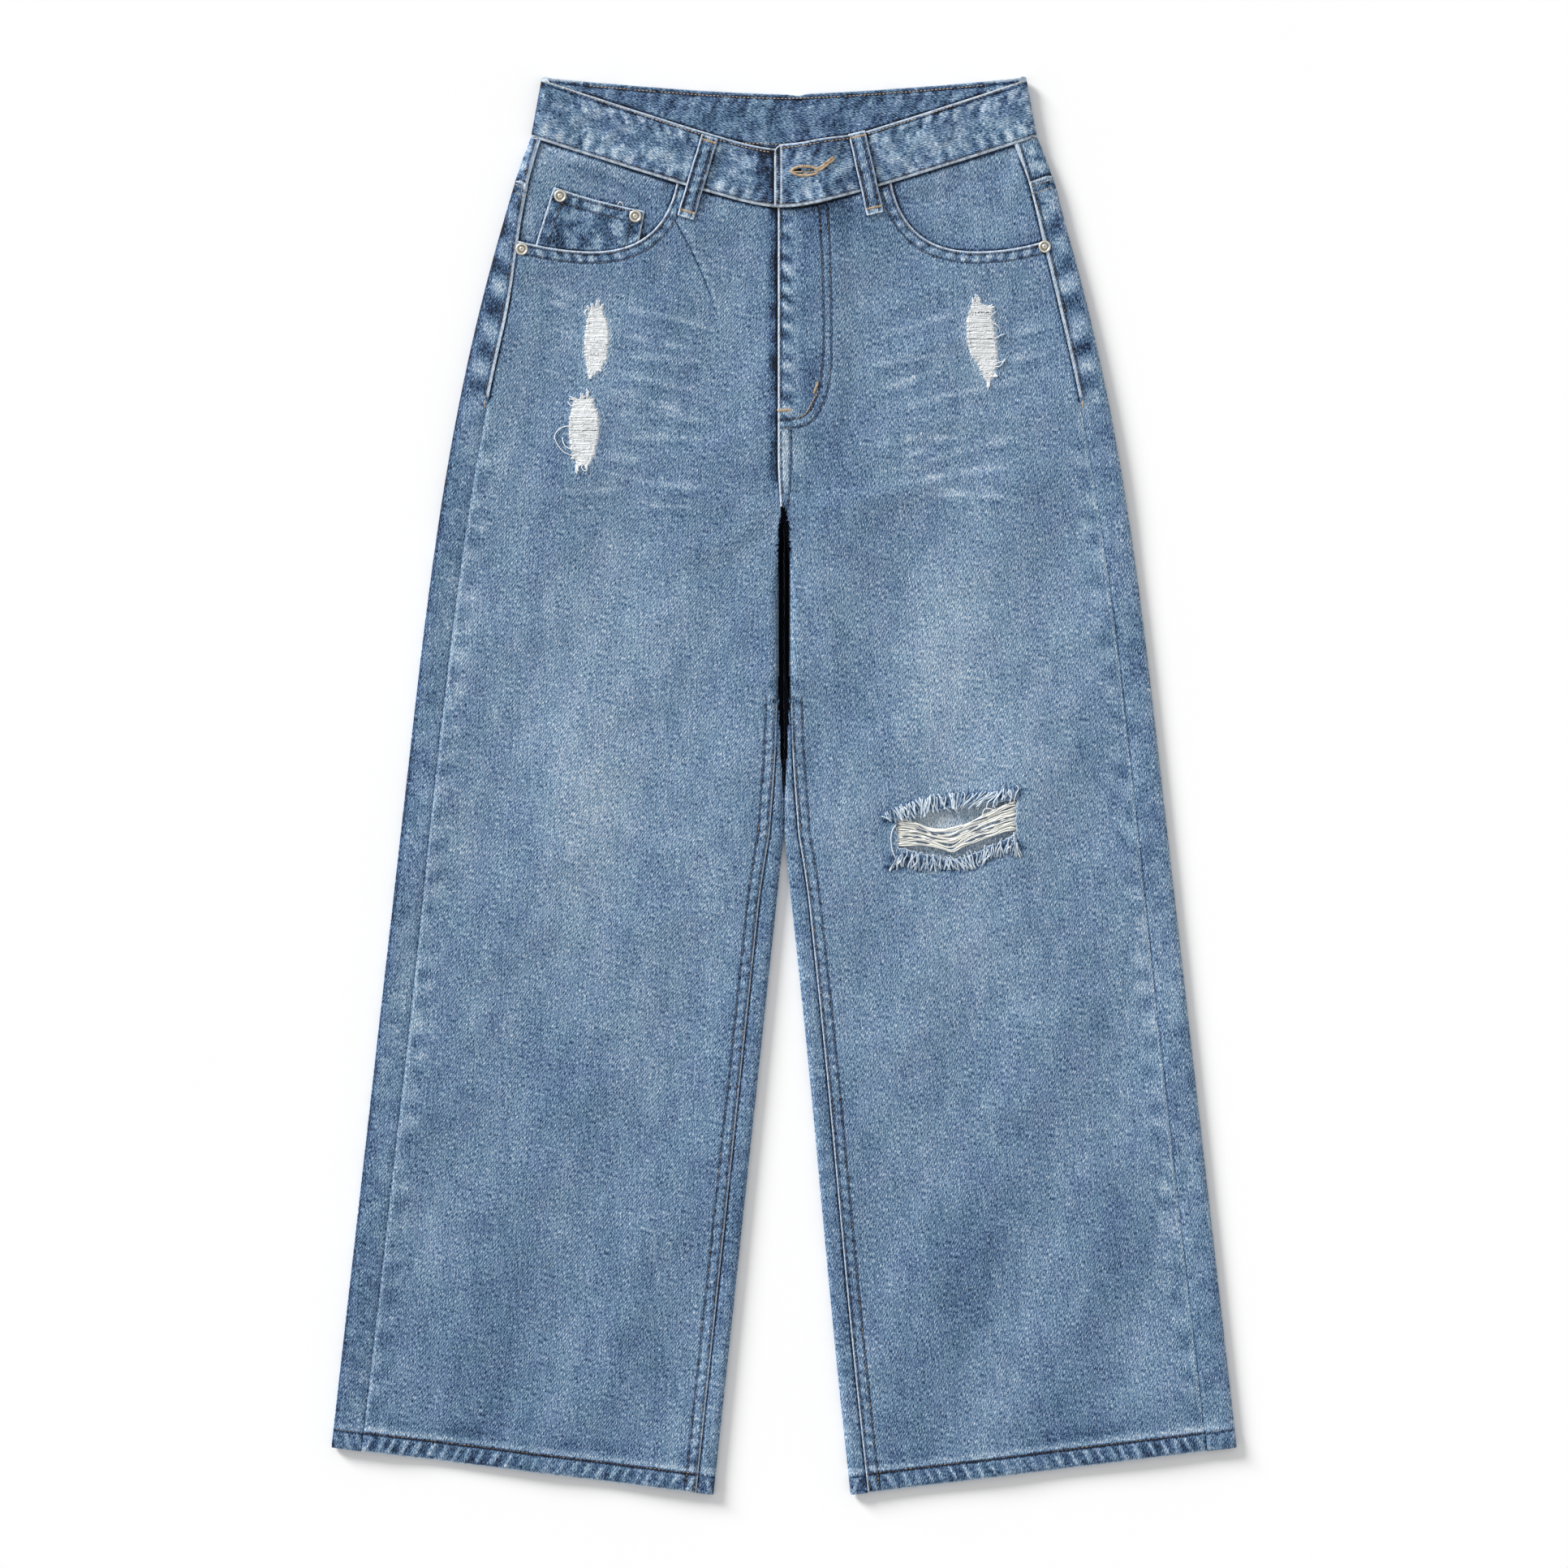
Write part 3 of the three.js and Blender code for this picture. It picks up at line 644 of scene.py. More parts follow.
def denim(name, shift=0.0, grey=0.0):
    material, tree, shader = blank(name)
    weave = attribute(tree, "weave", "Vector")
    yarn = noise(tree, weave, (1.6, 0.40), 2.0, 0.6, 12)
    fleck = noise(tree, weave, (1.9, 1.2), 1.0, 0.5)
    slub = noise(tree, weave, (0.75, 0.04), 3.0, 0.6)
    cloud = noise(tree, weave, (0.03, 0.014), 2.0, 0.5)
    patch = noise(tree, weave, (0.085, 0.075), 2.0, 0.55, 30)
    turned = mapped(tree, weave, "Rotation", (0, 0, radians(30)))
    wave = tree.nodes.new("ShaderNodeTexWave")
    preset(wave, {"Scale": 0.19, "Distortion": 2.2, "Detail": 1.0, "Detail Scale": 3.0})
    feed(tree, wave.inputs["Vector"], turned)
    twill = wave.outputs["Fac"]

    def about(value, amount):
        return calc(tree, "MULTIPLY", calc(tree, "SUBTRACT", value, 0.5), amount)

    tone = calc(tree, "ADD", attribute(tree, "tone"), shift)
    for value, amount in ((yarn, indigo["yarn"]), (fleck, indigo["yarn"] * 0.4), (slub, indigo["slub"]),
                          (cloud, indigo["cloud"]), (twill, indigo["twill"] * 2)):
        tone = calc(tree, "ADD", tone, about(value, amount))
    mottle = calc(tree, "MULTIPLY", spread(tree, patch, 0.40, 0.60, -1.0, 1.0), attribute(tree, "blotch"))
    tone = calc(tree, "ADD", tone, calc(tree, "MULTIPLY", mottle, indigo["blotch"]))
    # painted shade: darker along stitch rows, as in their sunk groove
    row = spread(tree, attribute(tree, "row"), 0.35, 1.5, 0.28, 0.0)
    # painted shade: darker beside a covering edge, a seam's groove or a belt loop
    under = spread(tree, attribute(tree, "under"), 0.2, 2.6, 0.5, 0.0)
    tone = calc(tree, "SUBTRACT", calc(tree, "SUBTRACT", tone, row), under)
    tint = tree.nodes.new("ShaderNodeHueSaturation")  # the blue drifts between green and violet
    drift = noise(tree, weave, (0.045, 0.03), 2.0, 0.5)
    most = indigo["drift"]
    feed(tree, tint.inputs["Hue"], spread(tree, drift, 0.35, 0.65, 0.5 - most, 0.5 + most))
    feed(tree, tint.inputs["Color"], ramp(tree, tone, indigo["stops"]))
    base = tint.outputs[0]
    along = noise(tree, weave, (0.3, 0.3), 3.0, 0.6)
    worn = calc(tree, "MULTIPLY", spread(tree, attribute(tree, "edge"), 0.5, 1.9, 1.0, 0.0),
                spread(tree, along, 0.32, 0.58, 0.4, 0.92))
    base = blend(tree, worn, base, colour(*indigo["worn"]))
    if grey:
        base = blend(tree, grey, base, colour(168, 174, 178))
    feed(tree, shader.inputs["Base Color"], base)
    feed(tree, shader.inputs["Roughness"], spread(tree, yarn, 0.3, 0.7, 0.95, 0.8))
    preset(shader, {"Specular IOR Level": 0.25, "Sheen Weight": 0.08, "Sheen Roughness": 0.5})
    bump(tree, shader, calc(tree, "ADD", yarn, calc(tree, "MULTIPLY", twill, 0.6)), 0.3)
    return material


def threadMaterial(name, shades, size=2.0):
    material, tree, shader = blank(name)
    spot = tree.nodes.new("ShaderNodeTexCoord").outputs["Object"]
    grain = noise(tree, spot, (900 / size, 900 / size), 2.0, 0.6)
    strand = noise(tree, spot, (3200, 2400), 1.0, 0.5, 35)
    shade = ramp(tree, grain, [(0.3, shades[0]), (0.5, shades[1]), (0.7, shades[2])])
    feed(tree, shader.inputs["Base Color"], shade)
    feed(tree, shader.inputs["Roughness"], spread(tree, strand, 0.3, 0.7, 0.7, 0.92))
    preset(shader, {"Specular IOR Level": 0.3})
    bump(tree, shader, strand, 0.12)
    return material


cloth = denim("washed denim")
# the inside is paler cloth, lightened further as painted light against the shade it lies in
clothInside = denim("denim inside", shift=0.27, grey=0.1)
bandCloth = denim("waistband denim", shift=-0.01)


def shadedCloth():
    # the near-black cloth down between the legs: painted shade, with no sheen
    material, tree, shader = blank("near-black denim for gap shade")
    weave = attribute(tree, "weave", "Vector")
    yarn = noise(tree, weave, (1.2, 0.5))
    feed(tree, shader.inputs["Base Color"], ramp(tree, yarn, [(0.3, (3, 4, 7)), (0.7, (12, 15, 22))]))
    preset(shader, {"Roughness": 1.0, "Specular IOR Level": 0.0, "IOR": 1.0})
    return material


gapShadeCloth = shadedCloth()
tanThread = threadMaterial("tan topstitching", ((148, 126, 100), (192, 168, 138), (218, 198, 170)))
wornThread = threadMaterial("worn topstitching", ((42, 44, 52), (88, 82, 80), (158, 140, 118)), 5.0)
whiteThread = threadMaterial("bare weft", ((226, 231, 234), (240, 243, 245), (252, 252, 252)), 3.0)
blueThread = threadMaterial("frayed warp", ((88, 114, 146), (138, 160, 184), (196, 208, 220)), 3.0)
print("materials made")


# The wash: fades are (x, y, half width, half height, tone), whiskers are pale lines rubbed in at the thighs
wash = {
    "base": 0.50,
    "fades": [
        (-132, 60, 60, 120, 0.075), (-146, -25, 52, 80, 0.055), (-150, 330, 60, 60, 0.02),
        (-115, 262, 36, 46, -0.035), (-138, 213, 20, 14, 0.04), (-115, -100, 26, 30, 0.05),
        (124, 100, 50, 66, 0.10), (143, 92, 26, 40, 0.055), (148, 20, 44, 44, 0.055),
        (126, -60, 52, 90, 0.06), (140, 258, 50, 36, 0.035), (34, 245, 20, 60, -0.08),
        (-34, 225, 22, 60, -0.045), (-195, -200, 50, 34, -0.04), (-110, -320, 90, 80, -0.03),
        (150, -330, 110, 110, -0.02), (-60, 405, 26, 22, -0.05), (-115, 385, 22, 18, -0.07),
        (36, 410, 34, 22, -0.19), (10, 240, 7, 16, 0.15), (-207, 370, 12, 70, -0.08),
        (-236, 150, 14, 90, 0.035), (246, 150, 14, 110, 0.045), (-268, -140, 10, 90, 0.04),
        (284, -160, 18, 150, 0.03), (-195, -452, 90, 38, -0.085), (-235, -380, 40, 90, -0.045),
        (95, -370, 34, 70, -0.055), (200, -310, 40, 34, -0.035), (205, -452, 80, 38, -0.045),
        (13, 345, 7, 32, -0.07), (18, 292, 10, 22, -0.17), (176, 366, 10, 16, 0.08),
        (211, 328, 10, 26, -0.08), (131, 379, 22, 5, 0.05), (3, 268, 4, 5, 0.12),
        (110, 216, 30, 14, 0.05), (66, -262, 14, 70, 0.045), (-14, -62, 8, 30, 0.05),
    ],
    "whiskers": [
        [(-126, 346), (-99, 341), (-72, 335), (-46, 328)],
        [(-124, 326), (-105, 322), (-79, 317), (-53, 313)],
        [(-126, 307), (-101, 309), (-66, 307), (-40, 305)],
        [(-126, 299), (-95, 292), (-72, 286), (-53, 282)],
        [(-131, 284), (-105, 279), (-82, 271), (-56, 268)],
        [(-128, 266), (-92, 267), (-64, 264), (-40, 264)],
        [(-124, 250), (-92, 251), (-66, 250), (-38, 247)],
        [(-131, 238), (-118, 237), (-108, 235), (-100, 235)],
        [(-131, 227), (-99, 219), (-76, 216), (-40, 216)],
        [(-180, 214), (-144, 212), (-118, 214), (-100, 215)],
        [(-115, 204), (-85, 201), (-62, 200), (-46, 199)],
        [(-177, 351), (-158, 346), (-144, 341), (-128, 338)],
        [(-184, 364), (-168, 359), (-150, 351), (-140, 350)],
        [(59, 324), (91, 330), (111, 337), (131, 340)],
        [(55, 302), (79, 306), (104, 309), (128, 312)],
        [(60, 284), (85, 290), (104, 298), (122, 302)],
        [(65, 270), (95, 275), (121, 282), (144, 286), (173, 293), (199, 297)],
        [(65, 245), (98, 251), (121, 250), (136, 256)],
        [(65, 224), (98, 232), (127, 242), (163, 249), (186, 252)],
        [(68, 215), (98, 220), (131, 226), (173, 231)],
        [(91, 211), (124, 210), (157, 208), (186, 202)],
        [(157, 306), (176, 309), (196, 312)],
        [(160, 325), (180, 329), (196, 332)],
        [(85, 238), (98, 241), (111, 244)],
    ],
    "whiskerTone": 0.16,
    "whiskerWide": 2.3,
}


def fadeTone(x, y):
    points = c_[x, y]
    tone = full(len(x), wash["base"]) - 0.012 * smooth(-120, -400, y)
    for fadeX, fadeY, wide, high, amount in wash["fades"]:
        tone += amount * exp(-(((x - fadeX) / wide) ** 2) - ((y - fadeY) / high) ** 2)
    tone -= 0.03 * smooth(14, 0, outerX(y) - np.abs(x))
    tone += 0.028 * wobble(x, y * 0.5, 70, 41) + 0.016 * wobble(x, y * 0.22, 16, 42)
    for number, line in enumerate(wash["whiskers"]):
        line = curveOver(line, 18)
        gap, run, turn = nearest(points, [line], 14)
        long = hypot(*diff(line, axis=0).T).sum()
        near = gap < 14
        ends = smooth(0, 0.3 * long, run[near]) * smooth(long, 0.7 * long, run[near])
        ends *= 0.75 + 0.35 * wobble(run[near], number * 40.0, 22, 43)
        wide = wash["whiskerWide"] * (1 + 0.3 * wobble(run[near], number * 30.0, 40, 44))
        side = turn[near] * gap[near]
        tone[near] += wash["whiskerTone"] * ends * bell(side, 0, wide)
        tone[near] -= 0.4 * wash["whiskerTone"] * ends * bell(side, -5.5, 3)
    return tone


def roped(points, line, near, far, pitch, seed):
    # the patchy fading where a hem or seam has twisted: dark and light dabs along a seam
    gap, run, _ = nearest(points, [line], far + 8)
    window = smooth(near - 1.5, near + 1.0, gap) * smooth(far + 2, far - 2, gap)
    beat = np.sin(2 * pi * (run + 0.45 * gap) / pitch + 0.9 * wobble(run, gap * 0 + seed, 60, seed))
    return window * clip(0.75 * beat + 0.5 * wobble(run, gap, pitch * 0.8, seed + 1), -1, 1)


def hemDabs(points, line, seed):
    # narrow pale streaks across the hem, darker between them
    gap, run, _ = nearest(points, [line], 20)
    window = smooth(0.5, 2.5, gap) * smooth(cut["hemDepth"] - 1.5, cut["hemDepth"] - 4.5, gap)
    phase = run - 0.4 * gap + 1.6 * wobble(run, gap * 0 + seed, 55, seed)
    beat = np.cos(2 * pi * phase / 9.4)
    strength = 0.75 + 0.4 * wobble(run, gap * 0, 90, seed + 1)
    return window * strength * (1.5 * smooth(0.1, 1.0, beat) - 0.75)


def pocketMouth(side):
    # the front pocket's scooped edge, from the waist seam round to the side seam
    scoop = bezier([(77.2, 434.2), (83.5, 402), (103, 384.5), (138, 384.5)], 20)
    seam = float(seamX(side, 392))
    run = bezier([(138, 384.5), (162, 384.5), (seam, 392)], 12)[1:]
    return vstack([scoop, run])


def centreX(side, y):
    # a front's centre edge, in from the wearer's own side; the right one is tucked under
    below = mix(2.7, cut["flyEdge"], smooth(cut["crotchY"] + 2, 236, y)) * smooth(188, 193, y)
    if side > 0:
        return -below + 0.1
    return below - mix(1.0, 6.0, smooth(cut["crotchY"], 250, y))


beltLoops = {
    "thick": 1.5,
    "tack": 0.055,  # how far in from an end it is sewn down, as a share of its length
    "stitchIn": 0.6,  # where the two stitch lines run, as a share of the half width
    "bulge": 0.9,
    "width": 12.4,
    "front": {  # middle of the top end and of the bottom end
        "beltLoopFrontLeft": ("belt_loop_front_left", (52.3, 470.2), (65.6, 411.6)),
        "beltLoopFrontRight": ("belt_loop_front_right", (-53.3, 467.0), (-70.8, 408.9)),
    },
    "back": {
        "beltLoopBackLeft": "belt_loop_back_left",
        "beltLoopBackRight": "belt_loop_back_right",
        "beltLoopBackCentre": "belt_loop_back_centre",
    },
}


def loopShadeLines():
    # the front loops' long sides, beside which painted shade darkens the cloth
    lines = []
    for _, top, bottom in beltLoops["front"].values():
        for side in (-1, 1):
            lines.append(sideways(resample([top, bottom], 4), side * (beltLoops["width"] / 2 + 0.3)))
    return lines


kneeTear = [
    (81, -24.5), (90, -23), (97, -21.5), (105, -18.5), (113, -17), (122, -15), (134, -12.5),
    (143, -12), (152, -12.5),
    (160, -10.5), (166.5, -9), (166.8, -20), (166.4, -33), (163, -36), (155, -40.5), (147, -43),
    (140, -47.5),
    (132, -50), (124, -53), (115, -52), (106, -49), (98, -48), (90, -45.5), (81.5, -44.5), (81.8, -34),
]
# the thigh rips, tip to tip: their left and right edges
slashes = {
    "thighRightUpper": {
        "curls": [(-139.5, 342, -0.6, 1, 4.2, 2.6), (-134.8, 343, 0.1, 1, 7, 2.4),
                  (-132, 342.5, 0.35, 1, 5, 2.2), (-137.4, 342, -0.3, 1, 6, 2.2),
                  (-134, 300.5, 0.8, -0.5, 3.6, 2), (-138.6, 297, -0.2, -1, 5, 2)],
        "left": [(-136.4, 344), (-138.6, 342.4), (-140, 339.6), (-142, 334), (-142.6, 326),
                 (-143.4, 318), (-143, 308.6), (-142, 303.8), (-141.2, 299), (-140.6, 294.6)],
        "right": [(-132.6, 344), (-131, 342.4), (-130.4, 339.6), (-127.6, 334), (-126.2, 326),
                  (-126.8, 316), (-127.4, 308.6), (-130, 303.8), (-133.2, 299), (-138.4, 294.6)],
    },
    "thighRightLower": {
        "curls": [(-141, 278.5, 0.02, 1, 7.6, 1.3), (-149, 277.6, -0.8, 0.35, 5.4, 1.6),
                  (-138.4, 276.5, 0.5, 0.8, 3, 2), (-145, 278.5, -0.3, 1, 4, 1.8),
                  (-142.6, 232.5, 0.1, -1, 5, 3.4), (-149, 231, 0.02, -1, 6.4, 1.4),
                  (-150.4, 238, -0.7, -0.7, 3.6, 2.4), (-146, 233, -0.2, -1, 3.6, 2.2)],
        "left": [(-144, 279.6), (-149, 278.6), (-151.6, 275), (-152.6, 270.3), (-154.2, 263.9),
                 (-154.2, 252.8), (-153.4, 243.2), (-151, 238), (-148.6, 231)],
        "right": [(-139.6, 279.6), (-138.2, 277), (-136.8, 274), (-134.5, 269), (-133.3, 263.9),
                  (-133.6, 252.8), (-135.6, 243.2), (-136.4, 238), (-141, 231)],
    },
    "thighLeft": {
        "curls": [(138.2, 347, 0, 1, 7, 3.6), (139.6, 347, 0.25, 1, 5, 2.2),
                  (137, 346, -0.35, 1, 4.6, 2.2), (147.5, 344.4, 0.9, 0.4, 3.6, 2),
                  (146.8, 291.4, 0.15, -1, 5.2, 1.6), (150.4, 296, 0.8, -0.4, 3.6, 2.4)],
        "left": [(136.2, 347.6), (135.4, 345.4), (132.9, 339.6), (131.7, 334.9), (131.6, 328),
                 (132.1, 320.9), (133, 315.3), (135.2, 309.6), (139.2, 304), (142.5, 298.4),
                 (145, 291.6)],
        "right": [(140.6, 347.6), (142.2, 346), (149.6, 344.4), (149.2, 336), (150.9, 330.2),
                  (151.9, 320.9), (153, 315.3), (153.4, 308), (152.8, 304), (151, 298.4),
                  (148.2, 291.6)],
    },
}
# the knee's two frayed lips: where their yarns leave the sound cloth, and where they end
kneeLips = {
    "Upper": {
        "root": [(72, -20), (80.7, -15.8), (89.3, -12.6), (99.6, -9.4), (108.2, -7.2), (126.2, -4.6),
                 (149.4, -4.6), (156.2, -3.4), (167, -1.5)],
        "tip": [(76, -25.5), (85, -25.6), (93, -25), (101.3, -23.5), (108, -20.5), (123.6, -17.8),
                (136.5, -14.2), (153.7, -14.1), (165, -9.8)],
        "yarns": 66,
    },
    "Lower": {
        "root": [(75.6, -60.6), (85.9, -58), (103, -61), (116.8, -60), (133.9, -60.4), (144.2, -54.4),
                 (160, -49.4), (170.4, -51)],
        "tip": [(80.7, -50), (89.3, -47.5), (101.3, -49), (116, -52.4), (125, -50.6), (145.1, -43.4),
                (160, -37.5), (168, -36)],
        "yarns": 62,
    },
}


def lipLines(lip):
    return curveOver(lip["root"], 60), curveOver(lip["tip"], 60)


def tornLoop(points, seed, jag=0.5):
    loop = vstack([points, points[:1]])
    loop = resample(loop, 1.6)[:-1]
    return loop + np.random.default_rng(seed).normal(0, jag, loop.shape)


def slashLoop(name):
    rip = slashes[name]
    return vstack([rip["left"], rip["right"][::-1]])


holes = {
    1: [tornLoop(kneeTear, 11), tornLoop(slashLoop("thighLeft"), 12, 0.3)],
    -1: [tornLoop(slashLoop("thighRightUpper"), 13, 0.3), tornLoop(slashLoop("thighRightLower"), 14, 0.3)],
}


def hemEnd(lineX):
    # where a line x(y) meets the hem
    y = -480.0
    for _ in range(12):
        y = float(hemY(lineX(y)))
    return y


hemStitch = cut["hemDepth"] - 0.8
frontRowsIn = {"inseam": (1.9, 8.2), "mouth": (2.2, 8.2)}  # how far in from an edge it is stitched


def frontLines(side):
    # the front's edges and seams as lines, on the +X side
    gap = cut["gap"]
    sideFoot = hemEnd(lambda y: float(seamX(side, y)) - gap)
    inFoot = hemEnd(lambda y: float(inseamX(y)))
    seam = linspace(392, sideFoot, 160)
    inseam = linspace(inFoot, gapFoot, 110)
    legGap = linspace(gapFoot, cut["crotchY"], 30)
    waistX = linspace(float(centreX(side, 415)), 77.2, 40)
    top = c_[waistX, waistSeamY(waistX) - gap]
    rise = linspace(cut["crotchY"], top[0, 1], 50)
    mouth = pocketMouth(side)
    mouth[-1, 0] -= gap
    innerLeg = mix(inseamX(inseam), gapX(inseam), smooth(40, gapFoot, inseam))
    return {
        "top": top,
        "mouth": mouth,
        "side": c_[seamX(side, seam) - gap, seam],
        "hem": array([[seamX(side, sideFoot) - gap, sideFoot], [float(inseamX(inFoot)), inFoot]]),
        "inseam": c_[innerLeg, inseam],
        "legGap": c_[gapX(legGap), legGap],
        "rise": c_[[float(centreX(side, y)) + (0.4 if y < 200 else 0) for y in rise], rise],
    }


def flyIn(y):
    # how far the left front reaches over the middle
    return cut["flyEdge"] * smooth(cut["crotchY"] + 2, 236, y)


flyStitch = {
    "edge": 2.4,
    "curve": [(25.1, 418.5), (27.5, 380), (28.6, 330), (28.0, 305), (24.6, 284), (15.5, 267),
              (-3.6, 262.6)],
    "outer": [(31.1, 420.5), (33.2, 380), (34.2, 330), (33.6, 300), (29.2, 278), (18, 260.5),
              (-3.6, 257.2)],
}


def frontRows(side, lines):
    # where the front is stitched, as lines on the +X side
    stitched = {"mouth": lines["mouth"], "inseam": lines["inseam"][lines["inseam"][:, 1] < 66]}
    rows = {}
    for key, line in stitched.items():
        for end, into in zip(("Edge", "Inner"), frontRowsIn[key]):
            rows[key + end] = sideways(line, -into)
    rows["hem"] = sideways(resample(lines["hem"], 4), -hemStitch)
    if side > 0:
        rise = lines["rise"]
        rows["rise"] = sideways(rise[(rise[:, 1] < 256) & (rise[:, 1] > 196)], -2.2)
        rows["riseInner"] = curveOver([(4.7, 258), (5.2, 240), (4.2, 216), (2.6, 199)], 12)
        rows["flyEdge"] = sideways(rise[rise[:, 1] > 272], -flyStitch["edge"])
        rows["flyCurve"] = curveOver(flyStitch["curve"], 60)
        rows["flyOuter"] = curveOver(flyStitch["outer"], 60)
    return rows


def seamRaise(gap, height=0.3):
    # a stitched edge: a soft ridge along it that rolls off at the very edge
    return height * bell(gap, 1.2, 1.1) - 0.35 * bell(gap, 0, 0.35)


def frontHeight(side, points, lines, rows):
    x, y = points[:, 0] * side, points[:, 1]  # x from the centre towards this side
    z = lie(points[:, 0], y) + (flyRaise(x, y) if side > 0 else coinRaise(x, y))
    folded = [lines["mouth"], lines["inseam"]]
    if side > 0:
        folded.append(lines["rise"])
    flat = c_[x, y]
    gap = nearest(flat, folded, 8)[0]
    z += seamRaise(gap)
    gap = nearest(flat, [lines["side"], lines["top"]], 6)[0]
    z -= 0.55 * bell(gap, 0, 1.1)
    gap = nearest(flat, list(rows.values()), 5)[0]
    z -= 0.22 * bell(gap, 0, 0.8)
    z += 0.30 * roped(flat, lines["mouth"], 2, 8, 9.5, 21)
    z += 0.25 * roped(flat, lines["inseam"], 2, 9, 11, 22)
    z += 0.3 * hemDabs(flat, lines["hem"], 23)
    if side > 0:
        z += 0.32 * roped(flat, lines["rise"], 2.5, 12, 14, 24)
    gap = gapTo(flat, lines["hem"], 20)
    z += 0.5 * smooth(cut["hemDepth"] + 1.0, cut["hemDepth"] - 1.5, gap) - 1.1 * bell(gap, 0, 1.3)
    inGap = clip(1 - (x - gapX(y)) / 4.5, 0, 1)
    inGap *= smooth(40, gapFoot, y) * smooth(cut["crotchY"] + 14, 178, y)
    z -= 3.4 * (1 - np.sqrt(1 - minimum(inGap, 0.999) ** 2))
    if side < 0:
        edge = flyIn(y)
        tuck = smooth(edge + 2.2, edge - 1.0, x) * smooth(cut["crotchY"] + 4, 215, y)
        z -= 1.1 * tuck * (y > cut["crotchY"])
        fold = nearest(points, [foldLine], 14)
        z += 0.9 * bell(fold[0], 0, 5) * where(fold[2] > 0, 1, 0.4) * smooth(0, 20, fold[1])
        z -= 0.8 * bell(fold[0], 0, 1.0) * smooth(0, 12, fold[1]) * smooth(86, 60, fold[1])
    for hole in holes[side]:
        gap = gapTo(points, vstack([hole, hole[:1]]), 10)
        z += 0.45 * bell(gap, 0, 3.0) - 0.35 * bell(gap, 0, 0.6)
    return z


def paintedGapShade(flat):
    # painted shade: how far the cloth down between the legs is darkened
    x, y = flat[:, 0], flat[:, 1]
    half = interp(y, [-10, 0, 40, 90, 150, 184, 192, 201], [0.0, 0.4, 2.2, 3.9, 3.9, 3.4, 2.4, 0.0])
    return 0.75 * smooth(half + 0.7, half - 0.1, x) * (half > 0)


def kept(line, low, high):
    line = asarray(line)
    return line[(line[:, 1] >= low) & (line[:, 1] <= high)]


